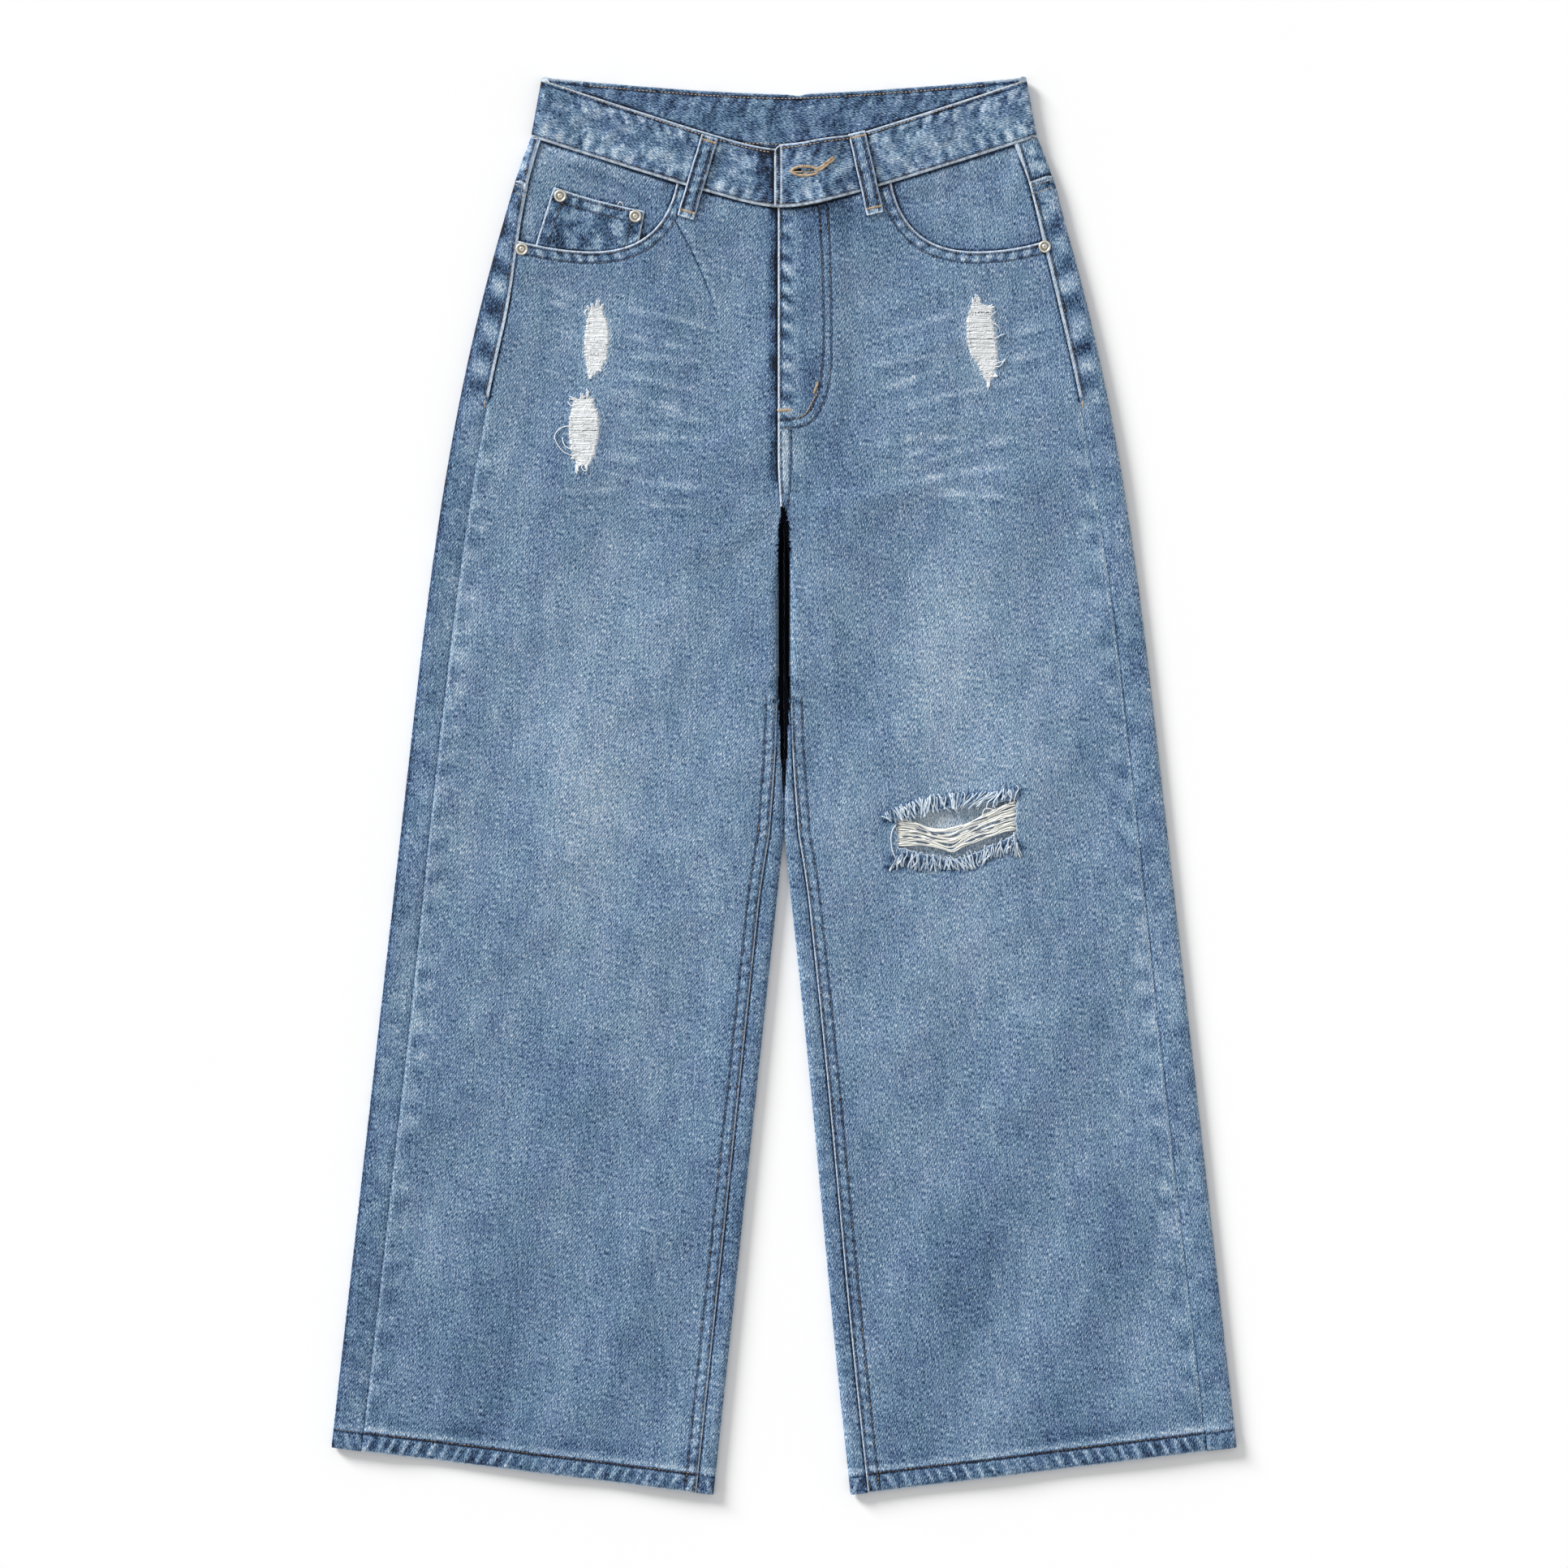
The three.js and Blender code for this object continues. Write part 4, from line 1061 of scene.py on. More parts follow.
def front(side, name, node):
    lines = frontLines(side)
    rows = frontRows(side, lines)
    outline = [mirrored(side, lines[k]) for k in ("top", "mouth", "side", "hem", "inseam", "legGap", "rise")]
    guides = [mirrored(side, rows[k]) for k in rows]
    guides += [curveOver(line, 18) for line in wash["whiskers"] if line[0][0] * side > 0]
    if side < 0:
        guides.append(foldLine)
    points, faces = planMesh(outline, holes[side], guides=guides)
    flat = c_[points[:, 0] * side, points[:, 1]]
    z = frontHeight(side, points, lines, rows)
    looks = plainLooks(points, angle=side * 5)
    looks["tone"] = fadeTone(points[:, 0], points[:, 1])
    worn = [lines["mouth"], lines["rise"]] if side > 0 else [lines["mouth"]]
    looks["edge"] = minimum(nearest(flat, worn, 6)[0],
                               gapTo(flat, kept(lines["inseam"], -600, 60), 6) + 0.55)
    torn = nearest(points, [vstack([h, h[:1]]) for h in holes[side]], 8)[0]
    nearer(looks, "edge", torn + 0.7)
    nearer(looks, "edge", gapTo(flat, lines["hem"], 6) + 0.5)
    looks["tone"] += 0.05 * bell(torn, 0, 4)
    looks["row"] = nearest(flat, list(rows.values()), 5)[0]
    # painted shade under the band's and side strips' edges, beside the fly's edge and in the side seam's
    # groove
    covered = [lines["top"], kept(lines["side"], 275, 500)]
    if side < 0:
        covered.append(c_[flyIn(lines["rise"][:, 1]) + 0.2, lines["rise"][:, 1]])
    looks["under"] = nearest(flat, covered, 6)[0]
    groove = gapTo(flat, kept(lines["side"], -600, 276), 6)
    nearer(looks, "under", groove * 2 + 1.0)
    if side < 0:
        # painted shade in the sharp fold, and a painted highlight on one side of it
        crease, run, turn = nearest(points, [foldLine], 9)
        nearer(looks, "under", crease * 1.4 + 0.9 + 0.9 * smooth(50, 84, run))
        looks["tone"] += 0.07 * bell(crease, 3, 2.4) * (turn > 0) * smooth(86, 60, run)
        # painted shade beside the fly's ridge on the right front
        beside = np.abs(flat[:, 0] - 3.0 - cut["flyEdge"])
        shade = smooth(5.5, 0.5, beside) * smooth(196, 240, flat[:, 1]) * (flat[:, 0] < 14)
        looks["tone"] -= shade * (0.24 + 0.14 * wobble(flat[:, 0] * 0.3, flat[:, 1], 17, 27))
    # painted shade beside the front belt loops
    nearer(looks, "under", nearest(points, loopShadeLines(), 5)[0] + 0.9)
    tone = looks["tone"]
    # painted shade down between the legs
    tone -= paintedGapShade(flat)
    # painted shade under the frayed lips, over the opening
    for lip in kneeLips.values() if side > 0 else ():
        between = smooth(7.0, 4.0, gapTo(points, mix(*lipLines(lip), 0.45), 10))
        tone -= between * (0.24 + 0.14 * wobble(points[:, 0], points[:, 1], 6, 28))
    tone += 0.25 * roped(flat, lines["mouth"], 2, 8, 9.5, 21)
    tone += 0.13 * roped(flat, lines["inseam"], 2, 9, 9, 22)
    tone += 0.17 * bell(groove, 1.9, 0.9)
    tone += 0.32 * hemDabs(flat, lines["hem"], 23)
    gap = gapTo(flat, lines["hem"], 34)
    tone += 0.19 * bell(gap - cut["hemDepth"], 1.8, 1.8)
    tone -= 0.13 * bell(gap - cut["hemDepth"], 9, 5) * smooth(
        -0.8, 0.6, wobble(points[:, 0], points[:, 1], 60, 31))
    # painted shade along the top of the hem's turn-up
    nearer(looks, "under", np.abs(gap - cut["hemDepth"] + 1.6) + 0.8)
    if side > 0:
        tone += 0.30 * roped(flat, lines["rise"], 2.5, 10, 14, 24) * (flat[:, 1] > 262)
        gap = gapTo(flat, lines["rise"], 16)
        tone += 0.11 * bell(gap, 13, 2.2) * (flat[:, 1] > 262)
        tone += 0.28 * smooth(8.5, 6.5, gap) * smooth(200, 222, flat[:, 1]) * smooth(262, 254, flat[:, 1])
    tone += 0.10 * roped(flat, kept(lines["side"], -600, 262), 2.5, 15, 24, 25)
    looks["blotch"] = 0.1 + 0.4 * smooth(8, 2, gapTo(flat, lines["hem"], 20))
    # faces down between the legs get the near-black painted-shade material
    gapShadeFaces = paintedGapShade(flat)[faces].mean(1) > 0.3
    piece = shell(name, c_[points, z], faces, cut["cloth"], looks, cloth, clothInside, gapShadeFaces)
    settle(piece, [node])
    return piece, lines, rows


frontLeft, leftLines, leftRows = front(1, "frontLeft", "front_left")
frontRight, rightLines, rightRows = front(-1, "frontRight", "front_right")
print("fronts", len(frontLeft.data.vertices), len(frontRight.data.vertices))


def rowEdges(centreTop, sideTop, y):
    # a row of the back: from the outer fold at outerY to the centre or the inner fold at y
    down = (centreTop - y) / (centreTop + halfLength)
    outerY = mix(sideTop, cut["hemOuterY"], down)
    slope = (y - outerY) / (float(outerX(outerY)) - float(innerX(y)))
    return outerY, lambda x: outerY + slope * (float(outerX(outerY)) - x)


# how far the yoke's seam is raised on top, at the side seam and at the fold
yokeTilt = {1: (3.8, 6.0), -1: (0.0, 2.6)}


def yokeSeamY(side, x):
    # the yoke's seam where it shows on top
    edge, seam = float(outerX(cut["yokeSide"])), float(seamX(side, cut["yokeSide"]))
    share = clip((x - seam) / (edge - seam), 0, 1)
    return cut["yokeSide"] - 0.18 * (edge - x) + mix(*yokeTilt[side], share)


def seatFace(y):
    # the underside, a stitch's thickness clear of the table
    return 0.2 + (cut["seatLift"] - 0.2) * smooth(150, 230, y)


def foldTop(y):
    return cut["foldHeight"] + cut["hipRise"] * float(smooth(150, 230, y))


def back(side, name, node):
    centreTop, sideTop = cut["yokeCentre"] - cut["gap"], cut["yokeSide"] - cut["gap"]
    ys = r_[linspace(centreTop, 205, 50), linspace(203, -470, 250),
               linspace(-473, -halfLength, 16)]
    strip = linspace(0, 1, 12)
    turn, flatRun, inRun, topRun = (linspace(0, 1, n)[1:] for n in (13, 44, 12, 8))
    sheet = []
    for y in ys:
        outerY, rowY = rowEdges(centreTop, sideTop, float(y))
        tube = 1 - float(smooth(cut["crotchY"], 222, y))
        edge = float(outerX(outerY))
        start = float(seamX(side, outerY))
        level = edge - foldWide
        low, high = float(seatFace(outerY)), foldTop(outerY)
        row = []
        for t in strip:
            x = mix(start, level, t)
            row.append((x, rowY(x), None))
        for t in turn:
            a = pi * t
            x = level + foldWide * sin(a)
            row.append((x, rowY(x), (low + high) / 2 + (high - low) / 2 * cos(a)))
        inner = float(innerX(y))
        wide = mix(foldWide, 6.6, float(smooth(-40, 60, y)))
        turnIn = inner + wide
        foot = mix(cut["gap"] / 2, turnIn, tube)
        for t in flatRun:
            x = mix(level, foot, t)
            row.append((x, rowY(x), float(seatFace(rowY(x)))))
        legLow, legHigh = float(seatFace(y)), foldTop(y)
        reach = mix(0.98, 0.64, float(smooth(30, gapFoot + 30, y)))
        for t in inRun:
            a = pi * t * reach
            x = turnIn - wide * sin(a)
            z = (legLow + legHigh) / 2 - (legHigh - legLow) / 2 * cos(a)
            row.append((mix(foot, x, tube), rowY(x), mix(legLow, z, tube)))
        last = row[-1]
        end = max(float(inseamX(y)) - cut["gap"], last[0] + 0.4) if y < 60 else last[0] + 0.2
        for t in topRun:
            x = mix(last[0], mix(last[0], end, tube), t) + 1e-3 * t
            row.append((x, rowY(x), None if y < 40 and tube == 1 else last[2] + 1e-3 * t))
        sheet.append([(side * p[0], p[1], np.nan if p[2] is None else p[2]) for p in row])
    sheet = array(sheet)
    rows, columns = sheet.shape[:2]
    share = r_[strip, 1 - turn]
    outerYs = mix(sideTop, cut["hemOuterY"], (centreTop - ys) / (centreTop + halfLength))
    low, high = yokeTilt[side]
    sheet[:, :len(share), 1] += smooth(398, 431, outerYs)[:, None] * mix(low, high, share) * r_[
        ones(len(strip)), smooth(1, 0.6, turn)]
    points = sheet.reshape(-1, 3)
    level = np.isnan(points[:, 2])
    plan = c_[np.abs(points[:, 0]), points[:, 1]]
    z = lie(points[level, 0], points[level, 1])
    ys = r_[linspace(438, 400, 16), ys]
    seam = c_[seamX(side, ys), ys]
    kneeLine = kept(seam, 276, 460)
    hipGap = gapTo(plan[level], kneeLine, 8)
    z += 0.95 * bell(hipGap, 1.1, 1.4) - 0.3 * bell(hipGap, 0, 0.5)
    low = gapTo(plan[level], kept(seam, -600, 276), 8)
    z -= 0.55 * bell(low, 0, 1.1)
    inLine = c_[inseamX(ys) - cut["gap"], ys]
    low = gapTo(plan[level], kept(inLine, -600, 60), 8)
    z -= 0.7 * bell(low, 0, 1.4)
    fromTop = (yokeSeamY(side, plan[:, 0]) - cut["gap"] - plan[:, 1])[level]
    points[level, 2] = z + 0.8 * bell(fromTop, 1.6, 2.2)
    hem = c_[linspace(float(innerX(-halfLength)), cut["hemHalf"], 60),
                hemY(linspace(51, cut["hemHalf"], 60))]
    hemGap = gapTo(plan, hem, 30)
    rise = 0.5 * smooth(cut["hemDepth"] + 1, cut["hemDepth"] - 1.5, hemGap) + 0.3 * hemDabs(plan, hem, 23)
    points[:, 2] += where(points[:, 2] > 4, rise - 0.9 * bell(hemGap, 0, 1.3), 0)
    outside = points[:, 2] > 4
    looks = plainLooks(points, 0.49, 0.25, side * 6)
    looks["tone"] = where(outside, fadeTone(points[:, 0], points[:, 1]) - 0.03, 0.47)
    looks["edge"] = where(outside, gapTo(plan, kneeLine, 6), 99.0)
    stitched = sideways(kneeLine, -2.6 if kneeLine[0, 1] < kneeLine[-1, 1] else 2.6)
    hemRow = sideways(hem, hemStitch)
    fromTop = yokeSeamY(side, plan[:, 0]) - cut["gap"] - plan[:, 1]
    looks["edge"] = where(outside, minimum(looks["edge"], fromTop), 99)
    looks["row"] = nearest(plan, [stitched, hemRow], 5)[0]
    nearer(looks, "row", minimum(np.abs(fromTop - 3.4), np.abs(fromTop - 9.2)))
    looks["row"][~outside] = gapTo(plan[~outside], hemRow, 5)
    # painted shade in the side seam's and inseam's grooves and along the top of the hem's turn-up
    covered = gapTo(plan, kept(seam, -600, 276), 6) * 2 + 1.0
    covered = minimum(covered, gapTo(plan, kept(inLine, -600, 60), 6) * 1.3 + 0.3)
    covered = minimum(covered, np.abs(hemGap - cut["hemDepth"] + 1.6) + 0.8)
    looks["under"] = where(outside, covered, 99.0)
    # painted shade down between the legs
    looks["tone"] -= where(points[:, 2] > 0.6, paintedGapShade(plan), 0)
    dab = (0.16 + 0.10 * smooth(255, 300, plan[:, 1])) * roped(plan, kneeLine, 2, 15, 27, 26)
    looks["tone"] += where(outside, dab - foldShade(side, plan[:, 0], plan[:, 1]), 0)
    looks["tone"] += 0.32 * hemDabs(plan, hem, 23)
    looks["tone"] += 0.19 * bell(hemGap - cut["hemDepth"], 1.8, 1.8)
    faces = wound(points, gridFaces(rows, columns), points[:, 2] < 0.25, -1)
    gapShadeFaces = (paintedGapShade(plan)[faces].mean(1) > 0.3) & (points[faces][..., 2].mean(1) > 0.6)
    piece = shell(name, points, faces, cut["cloth"], looks, cloth, clothInside, gapShadeFaces)
    settle(piece, [node])
    return piece


backLeft = back(1, "backLeft", "back_left")
backRight = back(-1, "backRight", "back_right")
print("backs", len(backLeft.data.vertices))


# The yokes wrap the sides from the back and show as two short strips
def yoke(side, name, node):
    across = r_[linspace(0, 1, 12), linspace(1, 2, 14)[1:], linspace(2, 3, 46)[1:]]
    grid = []
    for k in linspace(0, 1, 20):
        sideY = mix(cut["sideTopY"] - cut["gap"], cut["yokeSide"] - 1.2, k)
        edge = float(outerX(sideY))
        low, high = float(seatFace(sideY)), cut["foldHeight"] + cut["hipRise"]
        level = edge - foldWide
        for q in across:
            if q <= 1:
                x, z = mix(float(seamX(side, sideY)), level, q), np.nan
            elif q <= 2:
                x = level + foldWide * sin(pi * (q - 1))
                z = (low + high) / 2 + (high - low) / 2 * cos(pi * (q - 1))
            else:
                x, z = mix(level, cut["gap"] / 2, q - 2), low
            topY = float(waistSeamY(x) if q < 2 else backSeamY(x)) - cut["gap"]
            lowY = mix(cut["yokeCentre"], cut["yokeSide"], x / edge)
            if q < 2:
                lowY = mix(float(yokeSeamY(side, x)) - 0.9, lowY, max(0, q - 1))
            grid.append((side * x, mix(topY, lowY, k), z))
    points = array(grid)
    onTop = np.isnan(points[:, 2])
    points[onTop, 2] = lie(points[onTop, 0], points[onTop, 1])
    plan = c_[np.abs(points[:, 0]), points[:, 1]]
    ys = linspace(cut["yokeSide"] - 2, cut["sideTopY"], 30)
    seam = c_[seamX(side, ys), ys]
    outside = points[:, 2] > 4
    gap = gapTo(plan, seam, 8)
    points[:, 2] += where(outside, 0.95 * bell(gap, 1.1, 1.4), 0)
    xs = linspace(150, 210, 30)
    edge = c_[xs, yokeSeamY(side, xs) - 0.9]
    low = gapTo(plan, edge, 8)
    points[:, 2] -= where(outside, 0.5 * bell(low, 0, 1.6), 0)
    looks = plainLooks(points, 0.5, 0.5, side * 20)
    looks["edge"] = where(outside, gap, 99)
    looks["row"] = where(outside, np.abs(gap - 2.6), 99)
    # painted shade along the yoke's tucked lower edge
    looks["under"] = where(outside, low * 0.6, 99)
    looks["tone"] += where(outside, 0.14 * roped(plan, seam, 2, 14, 12, 51), 0)
    faces = wound(points, gridFaces(20, len(across)), points[:, 2] < cut["seatLift"] + 0.1, -1)
    piece = shell(name, points, faces, cut["cloth"], looks, cloth, clothInside)
    settle(piece, [node])
    return piece


yokeLeft = yoke(1, "yokeLeft", "yoke_left")
yokeRight = yoke(-1, "yokeRight", "yoke_right")
print("yokes")


bandSizes = {
    "join": 150.0, "underlap": 34.0, "overlap": -7.0, "cornerRound": 7.5, "endRise": 3.5,
    "lowRow": 2.3, "topRow": 2.7, "endRow": 3.6,
    "hole": {"eye": (14.9, 441.8), "long": 9.3, "tall": 3.3, "tail": (35.5, 450.0)},
}


def bandX(x, k):
    return mix(x, x * cut["waistHalf"] / cut["sideTopX"], k * np.abs(x) / cut["sideTopX"])


def bandTop(side, x):
    # the front band's top edge over a point x of its own side
    rise = bandSizes["endRise"] * (1 - smooth(20, 60, x)) if side > 0 else 0
    top = waistSeamY(x) + cut["bandHeight"] + rise + 1.6 * np.abs(x) / cut["sideTopX"]
    if side > 0:
        r = bandSizes["cornerRound"]
        t = clip((x - bandSizes["overlap"]) / r, 0, 1)
        top = top - r * (1 - np.sqrt(1 - (1 - t) ** 2))
    return top


def bandZ(side, x, y):
    # the outer face of the front band; x is counted to its own side
    up = (y - waistSeamY(x)) / cut["bandHeight"]
    z = bandFace(x, y) + (flapRaise(x) if side > 0 else 0)
    z = z + 0.35 * wobble(side * x, y, 34, 61) + 0.22 * wobble(side * x, y, 15, 62)
    low, high = y - waistSeamY(x), bandTop(side, x) - y
    for gap in (low, high):
        z = z + seamRaise(maximum(gap, 0), 0.2) - 0.2 * bell(gap, 2.5, 0.8)
    if side > 0:
        end = maximum(x - bandSizes["overlap"], 0)
        z = z + seamRaise(end, 0.35) - 0.2 * bell(end, bandSizes["endRow"], 0.8)
    z = z + 0.25 * np.sin(2 * pi * x / 8.5 + 1.5 * wobble(x, 0 * x, 40, 63)) * smooth(0.45, 0.1, up)
    return z


def bandDabs(x, low, high):
    # twisted fading along both edges of a waistband
    near = minimum(low, high)
    beat = np.sin(2 * pi * (x + 0.5 * near) / 10.5 + 1.1 * wobble(x, near * 0, 50, 64) + 2.0 * (low < high))
    patchy = clip(0.8 * beat + 0.5 * wobble(x, near * 2, 13, 65), -1, 1)
    return smooth(1.5, 3.5, near) * smooth(18, 8, near) * patchy


def frontBand(side, name, node):
    end = bandSizes["overlap"] if side > 0 else -bandSizes["underlap"]
    behind = linspace(bandSizes["join"] + cut["gap"], 174, 14)
    turn = linspace(0.06, 0.94, 13)
    ahead = r_[linspace(176, end + 6, 118), linspace(end + 5, end, 7)]
    ks = r_[0, 0.018, 0.04, linspace(0.07, 0.93, 21), 0.96, 0.982, 1]
    low = cut["seatLift"]
    k = np.tile(ks, (len(behind), 1))
    x = bandX(behind[:, None], k)
    behindPart = np.stack([x, mix(backSeamY(x), backTopY(x), k), full(x.shape, low)], axis=-1)
    k = np.tile(ks, (len(turn), 1))
    cornerX, cornerY = mix(cut["sideTopX"], cut["waistHalf"], k), mix(cut["sideTopY"], halfLength, k)
    high = bandZ(side, cornerX - 5, cornerY - 1)
    angle = pi * turn[:, None]
    turnPart = np.stack([cornerX - foldWide + foldWide * np.sin(angle), cornerY,
                         (low + high) / 2 - (high - low) / 2 * np.cos(angle)], axis=-1)
    k = np.tile(ks, (len(ahead), 1))
    x = bandX(ahead[:, None], k)
    y = mix(waistSeamY(x), bandTop(side, x), k)
    aheadPart = np.stack([x, y, bandZ(side, x, y)], axis=-1)
    points = concatenate([behindPart, turnPart, aheadPart]).reshape(-1, 3) * (side, 1, 1)
    inFront = np.repeat(r_[behind * 0, turn > 0.5, ahead * 0 + 1] > 0, len(ks))
    rows, columns = len(behind) + len(turn) + len(ahead), len(ks)
    looks = plainLooks(points, 0.515, 0.6, 90 + side * 16)
    x = points[:, 0] * side
    low, high = points[:, 1] - waistSeamY(x), bandTop(side, x) - points[:, 1]
    k = np.tile(ks, rows)
    low = where(inFront, low, k * cut["bandHeight"])
    high = where(inFront, high, (1 - k) * cut["bandHeight"])
    looks["edge"] = minimum(low * 0.7, high * 0.9 + 0.3)
    looks["row"] = minimum(np.abs(low - bandSizes["lowRow"]), np.abs(high - bandSizes["topRow"]))
    if side > 0:
        fromEnd = x - bandSizes["overlap"]
        ends = minimum(fromEnd, np.abs(fromEnd - 5.0) + 0.6)
        nearer(looks, "edge", where(inFront & ((low > 2) | (fromEnd < 2)), ends, 99))
        endRow = np.abs(fromEnd - bandSizes["endRow"])
        nearer(looks, "row", where(inFront & (low > 3), endRow, 99))
    else:
        looks["tone"] -= where(inFront, 0.40 * smooth(27, 12, x), 0)  # the shade beside the overlap
        looks["under"] = where(inFront & (x < 12), np.abs(x - 7.5) + 0.2, 99)
    looks["tone"] += 0.05 * smooth(0.4, 0.1, np.abs(k - 0.25)) - 0.01
    looks["tone"] += 0.19 * bandDabs(x, low, high) - 0.02
    looks["tone"] -= 0.17 * bell(looks["row"], 0, 0.9) * (0.7 + 0.3 * np.sin(2 * pi * x / 3.1))
    if side > 0:
        looks["tone"] -= 0.06 * smooth(60, 25, x)
    looks["tone"] -= foldShade(side, x, points[:, 1])
    # painted shade beside the front belt loops
    shade = nearest(points[:, :2], loopShadeLines(), 6)[0] + 0.5
    nearer(looks, "under", where(inFront, shade, 99))
    faces = gridFaces(rows, columns)
    if side > 0:
        hole = bandSizes["hole"]
        fromEye = (points[faces].mean(1)[:, :2] - hole["eye"]) / (hole["long"] - 1.2, 0.9)
        faces = faces[~((hypot(*fromEye.T) < 1) & (points[faces].mean(1)[:, 2] > 5))]
    faces = wound(points, faces, inFront & (x < 150))
    piece = shell(name, points, faces, cut["band"] - 0.4, looks, bandCloth)
    settle(piece, [node])
    return piece


bandLeft = frontBand(1, "waistbandLeft", "waistband_left")
bandRight = frontBand(-1, "waistbandRight", "waistband_right")


def backBand():
    stations = linspace(-bandSizes["join"], bandSizes["join"], 170)
    ks = r_[0, 0.02, 0.045, linspace(0.08, 0.92, 19), 0.955, 0.98, 1]
    points, depth = [], []
    notchX = sum(boxOf("belt_loop_back_centre"))[0] / 2
    for station in stations:
        for k in ks:
            x = float(bandX(station, 1 - k))
            y = mix(float(backTopY(x)), float(backSeamY(x)), k)
            y -= 1.3 * bell(x - notchX, 4, 5) * (1 - k)
            z = cut["seatLift"] + cut["band"] + 0.25 * wobble(x, y, 26, 71) + 0.12 * wobble(x, y, 11, 72)
            points.append((x, y, z))
            depth.append(k * cut["bandHeight"])
    points, depth = array(points), array(depth)
    points[:, 2] += seamRaise(depth, 0.4) - 0.25 * bell(depth, 3, 0.8)
    points[:, 2] -= 0.25 * bell(depth, 38.5, 0.8)
    looks = plainLooks(points, 0.375, 0.5, 90)
    looks["tone"] += 0.12 * bandDabs(points[:, 0], cut["bandHeight"] - depth, depth)
    looks["edge"] = depth + 0.9
    looks["row"] = minimum(np.abs(depth - 3.2), np.abs(depth - 36.2))
    frontTop = where(points[:, 0] > -7, bandTop(1, points[:, 0]), bandTop(-1, -points[:, 0]))
    # painted shade where the front bands' top edges meet it
    looks["under"] = np.abs(points[:, 1] - frontTop - 0.4)
    faces = wound(points, gridFaces(len(stations), len(ks)))
    piece = shell("waistbandBack", points, faces, cut["band"] - 0.3, looks, bandCloth)
    settle(piece, ["waistband_back"])
    return piece


waistBack = backBand()
print("waistband")


def facing(side, name, node):
    topX = linspace(70, float(seamX(side, 462)) - cut["gap"], 40)
    top = c_[topX, waistSeamY(topX) - cut["gap"]]
    ys = linspace(top[-1, 1], 378, 40)
    outer = c_[seamX(side, ys) - cut["gap"], ys]
    low = array([outer[-1], [150, 372], [110, 374], [84, 392], [68, 420], top[0]])
    outline = [mirrored(side, part) for part in (top, outer, low)]
    points, faces = planMesh(outline, fine=2.2, coarse=3.2)
    flat = c_[points[:, 0] * side, points[:, 1]]
    mouth = pocketMouth(side)
    z = lie(points[:, 0], points[:, 1]) - cut["cloth"] - 0.45
    z += 0.9 * smooth(20, 4, nearest(flat, [top, outer], 24)[0])
    z += 0.25 * wobble(points[:, 0], points[:, 1], 22, 81)
    z = where(gapTo(flat, mouth, 8) < 7, minimum(z, lie(points[:, 0], points[:, 1]) - 1.5), z)
    looks = plainLooks(points, 0.485, 0.08, side * 4)
    # painted shade under the fronts' edges, the coin pocket and the pocket mouth
    looks["under"] = nearest(flat, [top, outer, mouth], 6)[0]
    if side < 0:
        nearer(looks, "under", gapTo(points, coinLoop(), 6) + 0.6)
    shade = smooth(14, 3, gapTo(flat, mouth, 18))
    looks["tone"] += 0.04 * wobble(points[:, 0], points[:, 1] * 0.3, 24, 82) - 0.07 * shade
    looks["tone"] += 0.05 * smooth(12, 3, nearest(flat, [outer, top], 14)[0])
    if side < 0:
        # a crease drawn in tone: painted shade along it and a painted highlight on one side
        crease, _, turn = nearest(points, [curveOver([(-150, 446), (-120, 433.5), (-92, 415)], 12)], 12)
        looks["tone"] -= 0.09 * bell(crease, 0, 2.4)
        looks["tone"] += 0.05 * bell(crease, 6, 3) * (turn > 0)
        looks["tone"] += 0.06 * smooth(-150, -172, points[:, 0])
    piece = shell(name, c_[points, z], faces, cut["cloth"] - 0.2, looks, cloth, clothInside)
    settle(piece, [node])
    return piece


coin = {
    "outerTop": (-165.6, 431.0), "innerTop": (-100.2, 413.8),
    "innerLow": (-106.0, 383), "outerLow": (-180.2, 384),
    "rows": (2.4, 9.0), "sideRow": 8.6,
}


def coinLoop():
    return array([coin[k] for k in ("outerTop", "innerTop", "innerLow", "outerLow", "outerTop")])


def coinTop(count):
    loop = coinLoop()
    return bezier([loop[0], (-134, 420.0), loop[1]], count)


def coinPocket():
    loop = coinLoop()
    top = coinTop(12)
    outline = [top, loop[1:3], loop[2:4], loop[3:5]]
    points, faces = planMesh(outline, fine=1.8, coarse=2.2)
    gap = gapTo(points, top, 30)
    sideGap = nearest(points, [loop[1:3], loop[3:5]], 14)[0]
    mouth = mirrored(-1, pocketMouth(-1))
    z = lie(points[:, 0], points[:, 1]) + 0.1 + 0.22 * wobble(points[:, 0], points[:, 1], 20, 91)
    z += seamRaise(minimum(gap, sideGap), 0.35)
    rows = minimum(np.abs(gap - coin["rows"][0]), np.abs(gap - coin["rows"][1]))
    rows = minimum(rows, where(gap > 9, np.abs(sideGap - coin["sideRow"]), 99))
    dabs = roped(points, top, 2.8, 8.6, 9.0, 92)
    z += -0.22 * bell(rows, 0, 0.8) + 0.3 * dabs
    looks = plainLooks(points, 0.40, 0.8, -4)
    looks["tone"] += 0.16 * dabs + 0.05 * smooth(11, 9, gap)
    looks["tone"] += 0.05 * wobble(points[:, 0], points[:, 1] * 0.25, 16, 93)
    looks["edge"] = minimum(gap, sideGap) + 0.2
    looks["row"] = rows
    # painted shade under the right front's pocket mouth
    looks["under"] = gapTo(points, mouth, 6) + 0.3
    piece = shell("coinPocket", c_[points, z], faces, cut["cloth"] - 0.2, looks, cloth, clothInside)
    settle(piece, ["coin_pocket"])
    return piece


facingLeft = facing(1, "pocketFacingLeft", "pocket_facing_left")
facingRight = facing(-1, "pocketFacingRight", "pocket_facing_right")
coinPiece = coinPocket()
print("front pockets")


